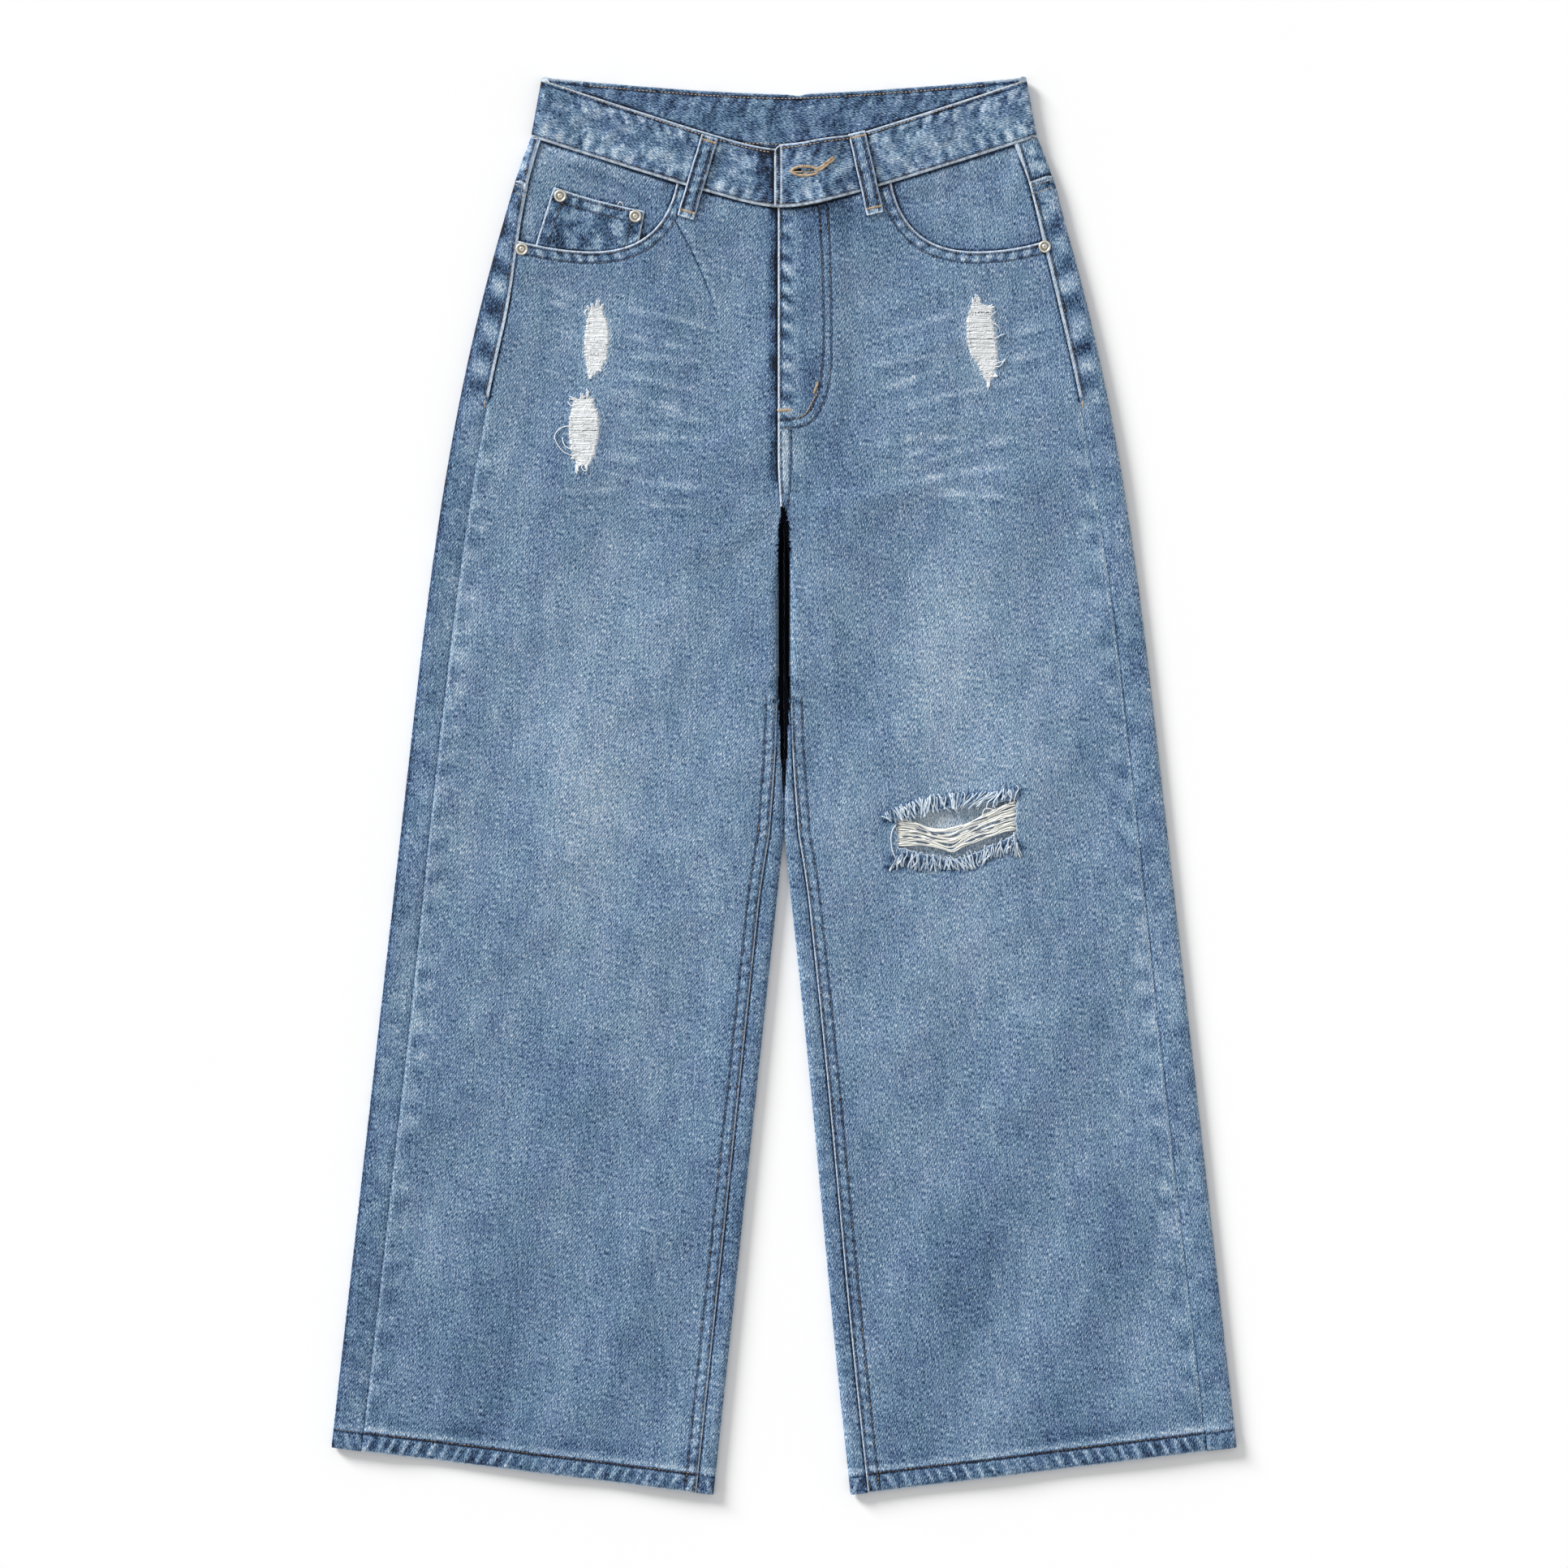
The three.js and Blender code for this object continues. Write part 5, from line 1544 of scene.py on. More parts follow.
# The fly's facing, hidden under the left front
def flyFacing():
    low, high = boxOf("fly_facing")
    right = bezier([(low[0] + 4, low[1]), (high[0] - 6, low[1] + 2), (high[0], 300), (high[0], 332)], 24)
    outline = [right, [(high[0], 332), (high[0] - 2, high[1])], [(high[0] - 2, high[1]), (low[0], high[1])],
               [(low[0], high[1]), (low[0], low[1] + 1)], [(low[0], low[1] + 1), (low[0] + 4, low[1])]]
    points, faces = planMesh([array(p, float) for p in outline], fine=3, coarse=4)
    z = lie(points[:, 0], points[:, 1]) + flyRaise(points[:, 0], points[:, 1]) - cut["cloth"] - 0.5
    looks = plainLooks(points, 0.42, 0.3)
    piece = shell("flyFacing", c_[points, z], faces, 0.9, looks, cloth, clothInside)
    settle(piece, ["fly_facing"])


flyFacing()


def treeOf(*things):
    graph = bpy.context.evaluated_depsgraph_get()
    return [BVHTree.FromObject(thing, graph) for thing in things]


def surfaceZ(trees, x, y, fromBelow=False):
    # the height of the cloth at a place, seen from above or from the table
    start = Vector((x * mm, y * mm, -0.01 if fromBelow else 0.05))
    way = Vector((0, 0, 1 if fromBelow else -1))
    found = [tree.ray_cast(start, way)[0] for tree in trees]
    heights = [hit.z / mm for hit in found if hit]
    if not heights:
        return None
    return min(heights) if fromBelow else max(heights)


def beltLoop(name, node, top, bottom, trees=None, low=None):
    # a strip of folded cloth from top to bottom, lying on what the trees say, or under the back at low
    rows, columns = 60, 15
    top, bottom = array(top, float), array(bottom, float)
    along = (bottom - top) / hypot(*(bottom - top))
    across = array([-along[1], along[0]])
    v = linspace(0, 1, rows)
    u = array([-1, -0.97, -0.9, -0.8, -0.7, -0.6, -0.45, 0, 0.45, 0.6, 0.7, 0.8, 0.9, 0.97, 1])
    middle = mix(top, bottom, v[:, None])
    length = hypot(*(bottom - top))
    half = beltLoops["width"] / 2 + 0.15 * wobble(v * length, 0 * v, 21, 101)
    place = middle[:, None] + across * (u[None, :, None] * half[:, None, None])
    wideAt, longAt = np.meshgrid(u, v)
    if trees:
        base = array([[surfaceZ(trees, *p) or np.nan for p in row[2:-2:3]] for row in place])
        base = np.nanmax(base, axis=1)
        soft = np.convolve(r_[[base[0]] * 5, base, [base[-1]] * 5], ones(11) / 11, "valid")
        level = maximum(base * 0.3 + soft * 0.7, soft)[:, None] + beltLoops["thick"] - 0.25
        tack = beltLoops["tack"]
        level = level + beltLoops["bulge"] * (smooth(tack, 0.3, longAt) * smooth(1 - tack, 0.7, longAt))
        level = level - 0.5 * (bell(longAt, tack, 0.02) + bell(longAt - 1 + tack, -0.02, 0.02))
        stitched = bell(np.abs(wideAt), beltLoops["stitchIn"], 0.08)
        relief = 0.42 * bell(np.abs(wideAt), 0.84, 0.13) - 0.35 * stitched + 0.22 * bell(wideAt, 0, 0.3)
        relief = relief - 0.7 * clip((np.abs(wideAt) - 0.93) / 0.07, 0, 1) ** 2
        z = level + relief + 0.14 * wobble(wideAt * 6, longAt * length, 9, 102 + len(name))
    else:
        z = full(wideAt.shape, low)
    points = np.dstack([place, z]).reshape(-1, 3)
    looks = plainLooks(points, 0.40, 0.3, 12)
    fromEnd = minimum(longAt, 1 - longAt) * length
    looks["edge"] = minimum((1 - np.abs(wideAt)) * half[:, None] + 0.35, fromEnd + 0.2).ravel()
    looks["row"] = 0.8 * (np.abs(np.abs(wideAt) - beltLoops["stitchIn"]) * half[:, None] + 0.1).ravel()
    looks["tone"] += (0.16 * bell(wideAt, 0, 0.35) + 0.22 * (longAt > 0.94) + 0.1 * (longAt < 0.1)).ravel()
    looks["tone"] += 0.09 * np.sin(2 * pi * (longAt * length + 3 * wideAt) / 7.5).ravel()
    faces = wound(points, gridFaces(rows, columns), way=1 if trees else -1)
    piece = shell(name, points, faces, beltLoops["thick"] - 0.3, looks, bandCloth)
    settle(piece, [node])
    piece["middle"] = [*top, *bottom]
    return piece


onFront = treeOf(frontLeft, frontRight, bandLeft, bandRight, waistBack, facingLeft, facingRight, coinPiece)
loops = []
for name, (node, top, bottom) in beltLoops["front"].items():
    loops.append(beltLoop(name, node, top, bottom, trees=onFront))
backLoops = []
for name, node in beltLoops["back"].items():
    lowCorner, highCorner = boxOf(node)
    x = (lowCorner[0] + highCorner[0]) / 2
    backLoops.append(beltLoop(name, node, (x, highCorner[1]), (x, lowCorner[1]), low=0.2))
print("belt loops")


# The back pockets are guessed: plain five-sided patches, as such trousers have
backPocket = {"point": 16, "rows": (1.8, 7.6), "hem": 18, "taper": 5}


def pocketLine(node, inset=0.0):
    # a back pocket's outline, drawn in by inset
    low, high = boxOf(node)
    wide = (high[0] - low[0]) / 2 - inset
    top, foot = high[1] - inset, low[1] + backPocket["point"] + inset * 0.3
    footWide = wide - backPocket["taper"]
    line = [(-wide, top), (wide, top), (footWide, foot), (0, low[1] + inset * 1.05),
            (-footWide, foot), (-wide, top)]
    return array(line) + ((low[0] + high[0]) / 2, 0)


def pocketPatch(name, node):
    outline = pocketLine(node)
    points, faces = planMesh([outline[k:k + 2] for k in range(5)], fine=2.6, coarse=5)
    gap = gapTo(points, outline, 12)
    looks = plainLooks(points, 0.5, 0.35, 2)
    looks["edge"] = gap
    looks["row"] = nearest(points, [pocketLine(node, by) for by in backPocket["rows"]], 4)[0]
    looks["tone"] += 0.12 * roped(points, outline, 2.4, 7, 10, 111)
    z = 0.2 + 0.18 * bell(looks["row"], 0, 0.8) + 0.3 * bell(gap, 0, 0.4)
    piece = shell(name, c_[points, z], faces[:, ::-1], 0.95, looks, cloth, clothInside)
    settle(piece, [node])
    return piece


pocketLeft = pocketPatch("backPocketLeft", "back_pocket_left")
pocketRight = pocketPatch("backPocketRight", "back_pocket_right")


def metalMaterial(name, dark, light, rough, patinaAndShade=False):
    material, tree, shader = blank(name)
    spot = tree.nodes.new("ShaderNodeTexCoord").outputs["Object"]
    tarnish = noise(tree, spot, (420, 420), 4.0, 0.6)
    scratch = noise(tree, spot, (5200, 600), 2.0, 0.5, 25)
    base = ramp(tree, tarnish, [(0.25, dark), (0.5, light), (0.8, light)])
    if patinaAndShade:
        base = blend(tree, attribute(tree, "patinaAndShade"), base, colour(74, 70, 66))
    feed(tree, shader.inputs["Base Color"], base)
    feed(tree, shader.inputs["Roughness"], spread(tree, tarnish, 0.3, 0.7, rough + 0.12, rough - 0.06))
    preset(shader, {"Metallic": 0.85})
    bump(tree, shader, scratch, 0.05)
    return material


champagne = metalMaterial("champagne rivet metal", (206, 194, 170), (246, 240, 226), 0.32)
rivetMetal = metalMaterial("rivet metal with patina", (206, 194, 170), (248, 243, 230), 0.3, patinaAndShade=True)
zipMetal = metalMaterial("antique zip brass", (96, 84, 62), (168, 148, 108), 0.42)
# radius, height and darkening, from the foot to the middle: patina in the grooves, painted contact shade at
# the foot
rivetShape = [(4.3, -0.5, 1), (4.6, 0.0, 1), (4.55, 0.35, 0.8), (4.35, 0.75, 0.25), (4.0, 1.05, 0),
              (3.5, 1.15, 0), (3.1, 0.9, 0.1), (2.8, 0.5, 0.6), (2.35, 0.32, 0.75), (1.95, 0.4, 0.5),
              (1.7, 0.8, 0.1), (1.4, 1.15, 0), (0.9, 1.3, 0), (0.45, 1.1, 0.5), (0.0, 1.0, 0.9)]


def rivet(name, node, trees):
    low, high = boxOf(node)
    middle = (low + high) / 2
    around = linspace(0, 2 * pi, 12)
    heights = [surfaceZ(trees, middle[0] + 4 * cos(a), middle[1] + 4 * sin(a)) for a in around]
    base = float(np.mean([h for h in heights if h])) + 0.1
    points, patinaAndShade, sides = [], [], 40
    for radius, up, worn in rivetShape[:-1]:
        patinaAndShade += [worn] * sides
        for k in range(sides):
            a = 2 * pi * k / sides
            points.append((middle[0] + radius * cos(a), middle[1] + radius * sin(a), base + up))
    points.append((middle[0], middle[1], base + rivetShape[-1][1]))
    patinaAndShade.append(rivetShape[-1][2])
    rings = len(rivetShape) - 1
    faces = []
    for ring in range(rings - 1):
        for k in range(sides):
            a, b = ring * sides + k, ring * sides + (k + 1) % sides
            faces.append((a, b, b + sides, a + sides))
    last = (rings - 1) * sides
    faces += [(last + k, last + (k + 1) % sides, rings * sides) for k in range(sides)]
    faces.append(tuple(range(sides))[::-1])
    piece = meshFrom(name, points, faces, {"patinaAndShade": array(patinaAndShade)}, [rivetMetal])
    return settle(piece, [node])


for name, node in (("rivetCoinOuter", "rivet_coin_outer"), ("rivetCoinInner", "rivet_coin_inner"),
                   ("rivetPocketRight", "rivet_pocket_right"), ("rivetPocketLeft", "rivet_pocket_left")):
    rivet(name, node, onFront + treeOf(backLeft, backRight))
for node, material in (("waist_button", champagne), ("zip", zipMetal)):
    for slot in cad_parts[node].material_slots:
        slot.material = material
print("pockets, rivets, button and zip")


# Stitches are small threads laid end to end, sunk into the cloth, in joined meshes
stitches = {"long": 2.0, "pitch": 2.7, "wide": 0.38, "sink": 0.05}


def stitchShape():
    rings = [(-0.5, 0.25), (-0.38, 0.8), (0.0, 1.0), (0.38, 0.8), (0.5, 0.25)]
    around = [(cos(2 * pi * k / 6), sin(2 * pi * k / 6)) for k in range(6)]
    points = array([(x, r * c, r * s - (1 - r) * 0.6) for x, r in rings for c, s in around])
    faces = [(a * 6 + k, a * 6 + (k + 1) % 6, a * 6 + 6 + (k + 1) % 6, a * 6 + 6 + k)
             for a in range(4) for k in range(6)]
    return points, faces + [tuple(range(6))[::-1], tuple(range(24, 30))]


def sew(marks, line, trees, fromBelow=False, pitch=stitches["pitch"], long=stitches["long"],
        wide=stitches["wide"], skip=0.0, seed=1, tilt=0.0, lift=0.0):
    # adds stitches along a line; each mark is a place, a direction, and the stitch's length and width
    rnd = np.random.default_rng(seed)
    line = resample(line, pitch)
    for a, b in zip(line, line[1:]):
        middle, along = (a + b) / 2, (b - a) / hypot(*(b - a))
        chance, sway = rnd.random(), rnd.normal(0, 0.06)
        if chance < skip:
            continue
        z = surfaceZ(trees, *middle, fromBelow)
        ahead = surfaceZ(trees, *(middle + along * 0.8), fromBelow)
        if z is None or ahead is None or abs(ahead - z) > 0.9:
            continue
        c, s = cos(radians(tilt) + sway), sin(radians(tilt) + sway)
        along = array([along[0] * c - along[1] * s, along[0] * s + along[1] * c])
        rise = (ahead - z) / 0.8
        up = -1 if fromBelow else 1
        marks.append((*middle, z + up * (lift - stitches["sink"]), *along, rise, up, long, wide))


def stitchMesh(name, marks, material):
    shape, shapeFaces = stitchShape()
    marks = array(marks)
    along = marks[:, 3:6] / np.linalg.norm(marks[:, 3:6], axis=1)[:, None]
    up = c_[zeros((len(marks), 2)), marks[:, 6]]
    aside = np.cross(up, along)
    aside /= np.linalg.norm(aside, axis=1)[:, None]
    up = np.cross(along, aside)
    long, wide = marks[:, 7][:, None, None], marks[:, 8][:, None, None]
    points = (marks[:, None, :3] + along[:, None] * shape[None, :, :1] * long
              + aside[:, None] * shape[None, :, 1:2] * wide + up[:, None] * shape[None, :, 2:] * wide * 0.8)
    count = len(shape)
    faces = [tuple(corner + n * count for corner in face) for n in range(len(marks)) for face in shapeFaces]
    piece = meshFrom(name, points.reshape(-1, 3), faces, {}, [material])
    return settle(piece)


def barTack(marks, start, end, trees, fromBelow=False, wide=2.2):
    # close zigzag stitches across a short line
    line = resample([start, end], 0.62)
    along = (line[-1] - line[0]) / hypot(*(line[-1] - line[0]))
    across = array([-along[1], along[0]])
    for k, middle in enumerate(line):
        z = surfaceZ(trees, *middle, fromBelow)
        if z is None:
            continue
        turn = 0.3 * (1 if k % 2 else -1)
        way = across * cos(turn) + along * sin(turn)
        up = -1 if fromBelow else 1
        marks.append((*middle, z + up * 0.12, *way, 0.0, up, wide, 0.36))


def sewEverything():
    worn, tan = [], []
    leftFront, rightFront = treeOf(frontLeft), treeOf(frontRight)
    for side, trees, rows in ((1, leftFront, leftRows), (-1, rightFront, rightRows)):
        for number, (key, line) in enumerate(rows.items()):
            line = mirrored(side, line)
            if key == "hem":
                sew(worn, line, trees, pitch=3.0, wide=0.44, seed=number + 3)
            else:
                onTop = key in ("mouthEdge", "mouthInner", "flyOuter", "flyCurve")
                skip, seed = (0.04, 9) if onTop else (0.05, 20)
                sew(worn, line, trees, skip=skip, seed=number + seed)
    barTack(tan, (-4.4, 270), (4.6, 270.4), leftFront, wide=2.6)
    barTack(tan, (24.4, 290.4), (21.6, 282.6), leftFront, wide=2.0)
    sew(tan, [(24.8, 284.6), (15.4, 267.2), (8, 264)], leftFront, pitch=2.4, seed=77)
    bands = {1: treeOf(bandLeft), -1: treeOf(bandRight)}
    for side, trees in bands.items():
        end = bandSizes["overlap"] + bandSizes["endRow"] if side > 0 else 10.0
        xs = linspace(end, cut["sideTopX"] - 3, 90)
        lowRow = c_[bandX(xs, 0.06) * side, waistSeamY(xs) + bandSizes["lowRow"]]
        topRow = c_[bandX(xs, 0.94) * side, bandTop(side, xs) - bandSizes["topRow"]]
        sew(worn, lowRow, trees, skip=0.03, seed=31)
        sew(tan, topRow, trees, skip=0.03, seed=32)
    ys = linspace(waistSeamY(0) + 3, bandTop(1, 0.0) - 4, 30)
    sew(worn, c_[full(30, bandSizes["overlap"] + bandSizes["endRow"]), ys], bands[1], seed=33)
    behind = treeOf(waistBack)
    xs = linspace(-148, 148, 160)
    sew(tan, c_[bandX(xs, 0.9), backTopY(xs) - 3.2], behind, skip=0.02, seed=34)
    sew(tan, c_[bandX(xs, 0.1), backTopY(xs) - 36.2], behind, skip=0.02, seed=35)
    hole = bandSizes["hole"]
    eye, tail = array(hole["eye"]), array(hole["tail"])
    for k in range(44):
        a = 2 * pi * k / 44
        rim = eye + (hole["long"] * cos(a), hole["tall"] * sin(a))
        z = surfaceZ(bands[1], *rim)
        if z and not (abs(a) < 0.3 or a > 2 * pi - 0.3):
            way = array([cos(a) / hole["tall"], sin(a) / hole["long"]])
            way /= hypot(*way)
            tan.append((*rim, z + 0.2, way[0] * 0.5 - way[1], way[1] * 0.5 + way[0], 0, 1, 1.9, 0.55))
            tan.append((*rim, z + 0.15, *way, 0, 1, 2.9, 0.42))
    sew(tan, [eye - (hole["long"] - 2, 0.7), eye + (hole["long"] - 1, -0.7)], bands[1],
        pitch=0.8, wide=0.45, lift=0.3, seed=50)
    stem = curveOver([eye + (hole["long"] - 1, 0.6), eye + (12, 2.2), tail - (4, 2.2), tail + (0.4, 1.4)], 20)
    for by in (-0.75, 0.75):
        sew(tan, sideways(stem, by), bands[1], pitch=0.75, long=2.2, wide=0.45, tilt=50, lift=0.15, seed=36)
    coinTree = treeOf(coinPiece)
    loop = coinLoop()
    for by in coin["rows"]:
        sew(worn, sideways(coinTop(24), -by)[1:-1], coinTree, seed=37)
    for first in (1, 3):
        sew(worn, sideways(resample(loop[first:first + 2], 3)[3:], -coin["sideRow"]), coinTree, seed=38)
    for side, trees in ((1, treeOf(backLeft, yokeLeft)), (-1, treeOf(backRight, yokeRight))):
        ys = linspace(277, cut["sideTopY"] - 1, 80)
        sew(worn, c_[(seamX(side, ys) + 2.6) * side, ys], trees, skip=0.05, seed=39)
        sew(tan, mirrored(side, [(seamX(side, 275) + 1.0, 276.5), (seamX(side, 275) + 1.2, 272.5)]), trees,
            pitch=1.2, wide=0.6, seed=40)
        for by in (3.4, 9.2):
            xs = linspace(float(seamX(side, 430)) + 1, float(outerX(430)) - 1, 9)
            sew(tan, c_[xs * side, yokeSeamY(side, xs) - cut["gap"] - by], trees, seed=41)
        hemX = linspace(float(innerX(-halfLength)) + 3, cut["hemHalf"] - 3, 120)
        hemRow = c_[hemX * side, hemY(hemX) + hemStitch]
        sew(tan, hemRow, trees, fromBelow=True, pitch=3.0, seed=42)
        sew(worn, hemRow[hemX > float(seamX(side, -470))], trees, pitch=3.0, wide=0.44, seed=43)
        sew(worn, hemRow[hemX < float(inseamX(-500)) - 0.5], trees, pitch=3.0, wide=0.44, seed=44)
        ys = linspace(cut["crotchY"] + 6, cut["yokeCentre"] - 3, 60)
        sew(worn, c_[full(60, side * 2.4), ys], trees, fromBelow=True, seed=45)
        xs = linspace(4, float(outerX(430)) - 6, 80)
        seam = mix(cut["yokeCentre"], cut["yokeSide"], xs / float(outerX(434)))
        for by in (2.6, 8.2):
            sew(worn, c_[xs * side, seam - by], trees, fromBelow=True, seed=46)
    for node, piece in (("back_pocket_left", pocketLeft), ("back_pocket_right", pocketRight)):
        for inset in backPocket["rows"]:
            sew(worn, pocketLine(node, inset)[1:], treeOf(piece), fromBelow=True, seed=47)
        low, high = boxOf(node)
        hem = high[1] - backPocket["hem"]
        sew(worn, [(low[0] + 2, hem), (high[0] - 2, hem)], treeOf(piece), fromBelow=True, seed=48)
    for piece in loops + backLoops:
        fromBelow = piece in backLoops
        top, bottom = array(piece["middle"][:2]), array(piece["middle"][2:])
        tree = treeOf(piece)
        half = beltLoops["width"] / 2
        length = [mix(top, bottom, 0.08), mix(top, bottom, 0.92)]
        for share in (-beltLoops["stitchIn"], beltLoops["stitchIn"]):
            sew(worn, sideways(length, share * half), tree, fromBelow, seed=49)
        for share in (0.055, 0.925):
            middle = mix(top, bottom, share)
            along = (bottom - top) / hypot(*(bottom - top))
            across = array([-along[1], along[0]]) * (half - 0.9)
            barTack(tan, middle - across, middle + across, tree, fromBelow, wide=2.0)
    return worn, tan


wornMarks, tanMarks = sewEverything()
wornStitches = stitchMesh("wornStitches", wornMarks, wornThread)
tanStitches = stitchMesh("tanStitches", tanMarks, tanThread)
print("stitches", len(wornMarks), len(tanMarks))


# Bare weft, tufts and frayed warp, all as fine tubes
def tubes(name, paths, radius, material, nodes=(), sides=5):
    # every path has the same number of points; radius may taper along it
    paths = asarray(paths, float)
    count, steps = paths.shape[:2]
    radius = np.broadcast_to(asarray(radius, float), (count, steps))
    along = np.gradient(paths, axis=1)
    along /= maximum(np.linalg.norm(along, axis=2), 1e-6)[..., None]
    up = array([0.13, 0.07, 0.99])
    aside = np.cross(along, up)
    aside /= maximum(np.linalg.norm(aside, axis=2), 1e-6)[..., None]
    above = np.cross(aside, along)
    angle = 2 * pi * arange(sides) / sides
    ring = aside[:, :, None] * np.cos(angle)[:, None] + above[:, :, None] * np.sin(angle)[:, None]
    points = (paths[:, :, None] + ring * radius[:, :, None, None]).reshape(-1, 3)
    base = (arange(count)[:, None, None] * steps + arange(steps - 1)[None, :, None]) * sides
    k = arange(sides)
    a, b = base + k, base + (k + 1) % sides
    quads = np.stack([a, b, b + sides, a + sides], axis=-1).reshape(-1, 4).tolist()
    ends = []
    for n in range(count):
        first, last = n * steps * sides, ((n + 1) * steps - 1) * sides
        ends += [tuple(range(first, first + sides))[::-1], tuple(range(last, last + sides))]
    piece = meshFrom(name, points, quads + ends, {}, [material])
    return settle(piece, nodes)


slashThreads = {"pitch": 0.63, "radius": 0.50, "sway": 0.12, "lean": 0.34, "missing": 0.012}


def slash(name, node, rip, seed):
    rnd = np.random.default_rng(seed)
    left, right = array(rip["left"], float), array(rip["right"], float)
    ys = arange(left[-1, 1] + 0.6, left[0, 1] - 0.4, slashThreads["pitch"])
    t = linspace(0, 1, 12)
    paths, radii = [], []
    for y in ys:
        if rnd.random() < slashThreads["missing"]:
            continue
        tucked = rnd.random() < 0.5  # half of the threads end under the torn edge, half on it
        a, b = interp(y, left[::-1, 1], left[::-1, 0]), interp(y, right[::-1, 1], right[::-1, 0])
        beyond = 1.6 if tucked else 0.6 * float(smooth(1, 8, b - a))
        a -= beyond * rnd.uniform(0.3, 1)
        b += beyond * rnd.uniform(0.3, 1)
        x = mix(a, b, t)
        ripple = slashThreads["sway"] * np.sin(2 * pi * (t * rnd.uniform(1, 2.5) + rnd.random()))
        lean, bow = rnd.normal(0, slashThreads["lean"]), rnd.normal(0, 0.2)
        line = y + lean * (t - 0.5) + bow * np.sin(pi * t) + ripple
        z = lie(x, line) + 0.04 * rnd.normal() * np.sin(pi * t)
        z += -1.0 + 1.1 * np.sin(pi * t) ** 0.35 if tucked else 0.15
        paths.append(c_[x, line, z])
        radii.append(slashThreads["radius"] * rnd.uniform(0.75, 1.15) * ones(12))
    return tubes(name, paths, array(radii), whiteThread, [node])


def curl(rnd, start, way, long, sway, turns, rise=0.7, steps=12):
    # one frayed yarn from a place on the cloth, wandering to its end
    t = linspace(0, 1, steps)
    way = way / hypot(*way)
    aside = array([-way[1], way[0]])
    bend = sway * np.sin(2 * pi * (turns * t + rnd.random() * 0.4)) * t ** 0.5
    line = start + way * (t * long)[:, None] + aside * bend[:, None]
    z = lie(line[:, 0], line[:, 1]) + 0.25 + rise * np.sin(pi * t) * rnd.uniform(0.4, 1.2)
    return c_[line, z]


def hoop(start, way, long, wide, rise=0.9, steps=14):
    # a yarn that leaves the cloth and turns back into it
    t = linspace(0, 1, steps)
    way = way / hypot(*way)
    aside = array([-way[1], way[0]])
    out = long * np.sin(pi * t) ** 0.8
    line = start + way * out[:, None] + aside * (wide * (t - 0.5) + 0.25 * wide * np.sin(2 * pi * t))[:, None]
    z = lie(line[:, 0], line[:, 1]) + 0.15 + rise * np.sin(pi * t)
    return c_[line, z]


def fuzz(name, rips, seed):
    # fine pale hairs and tufts round the thigh rips
    rnd = np.random.default_rng(seed)
    paths, radii = [], []
    taper = linspace(1, 0.45, 12)
    for rip in rips:
        loop = resample(vstack([rip["left"], rip["right"][::-1], rip["left"][:1]]), 0.75)
        middle = loop.mean(0)
        for a, b in zip(loop, loop[1:]):
            along = b - a
            out = array([along[1], -along[0]])
            if out @ (a - middle) < 0:
                out = -out
            side = out / hypot(*out) + rnd.normal(0, 0.85, 2)
            start = a - out / hypot(*out) * rnd.uniform(0.8, 2.4)
            paths.append(curl(rnd, start, side, rnd.uniform(1.4, 3.4), 0.7, rnd.uniform(0.3, 0.9), 0.5))
            radii.append(rnd.uniform(0.14, 0.27) * taper)
        left, right = array(rip["left"])[::-1], array(rip["right"])[::-1]
        for _ in range(100):  # felted hairs over the bare threads
            y = rnd.uniform(left[0, 1] + 3, left[-1, 1] - 2)
            x = mix(interp(y, *left.T[::-1]), interp(y, *right.T[::-1]), rnd.uniform(0.12, 0.88))
            way, long = rnd.normal(0, 1, 2), rnd.uniform(1.6, 3.6)
            paths.append(curl(rnd, array([x, y]), way, long, 0.5, 0.7, 0.35))
            radii.append(rnd.uniform(0.24, 0.36) * taper)
        for x, y, wayX, wayY, long, wide in rip["curls"]:
            for _ in range(3):
                start, way = (x, y) + rnd.normal(0, 0.35, 2), (wayX, wayY) + rnd.normal(0, 0.12, 2)
                out, across = long * rnd.uniform(0.75, 1.05), wide * rnd.uniform(0.6, 1.1)
                paths.append(hoop(start, way, out, across, 0.8, 12))
                radii.append(rnd.uniform(0.3, 0.42) * ones(12))
    return tubes(name, paths, array(radii), whiteThread, sides=4)


for name, node, seed in (("thighRightUpper", "rip_threads_thigh_right_upper", 201),
                         ("thighRightLower", "rip_threads_thigh_right_lower", 202),
                         ("thighLeft", "rip_threads_thigh_left", 203)):
    slash(name + "Weft", node, slashes[name], seed)
fuzz("thighRipFuzz", list(slashes.values()), 204)

# the knee rip: a bundle of bare weft between two frayed lips
knee = {
    "bundleTop": [(80, -22.6), (88, -24), (97, -26.3), (106, -30.2), (116, -31.2), (127, -27.8),
                  (138, -22.8), (150, -17.2), (158, -13.6), (168, -10.6)],
    "bundleLow": [(80, -43.8), (96, -42.8), (107, -44.2), (115, -46.6), (121.5, -48.2), (129, -43.4),
                  (137, -40.5), (150, -37), (158, -33.8), (168, -31.6)],
    "strands": 23,
}


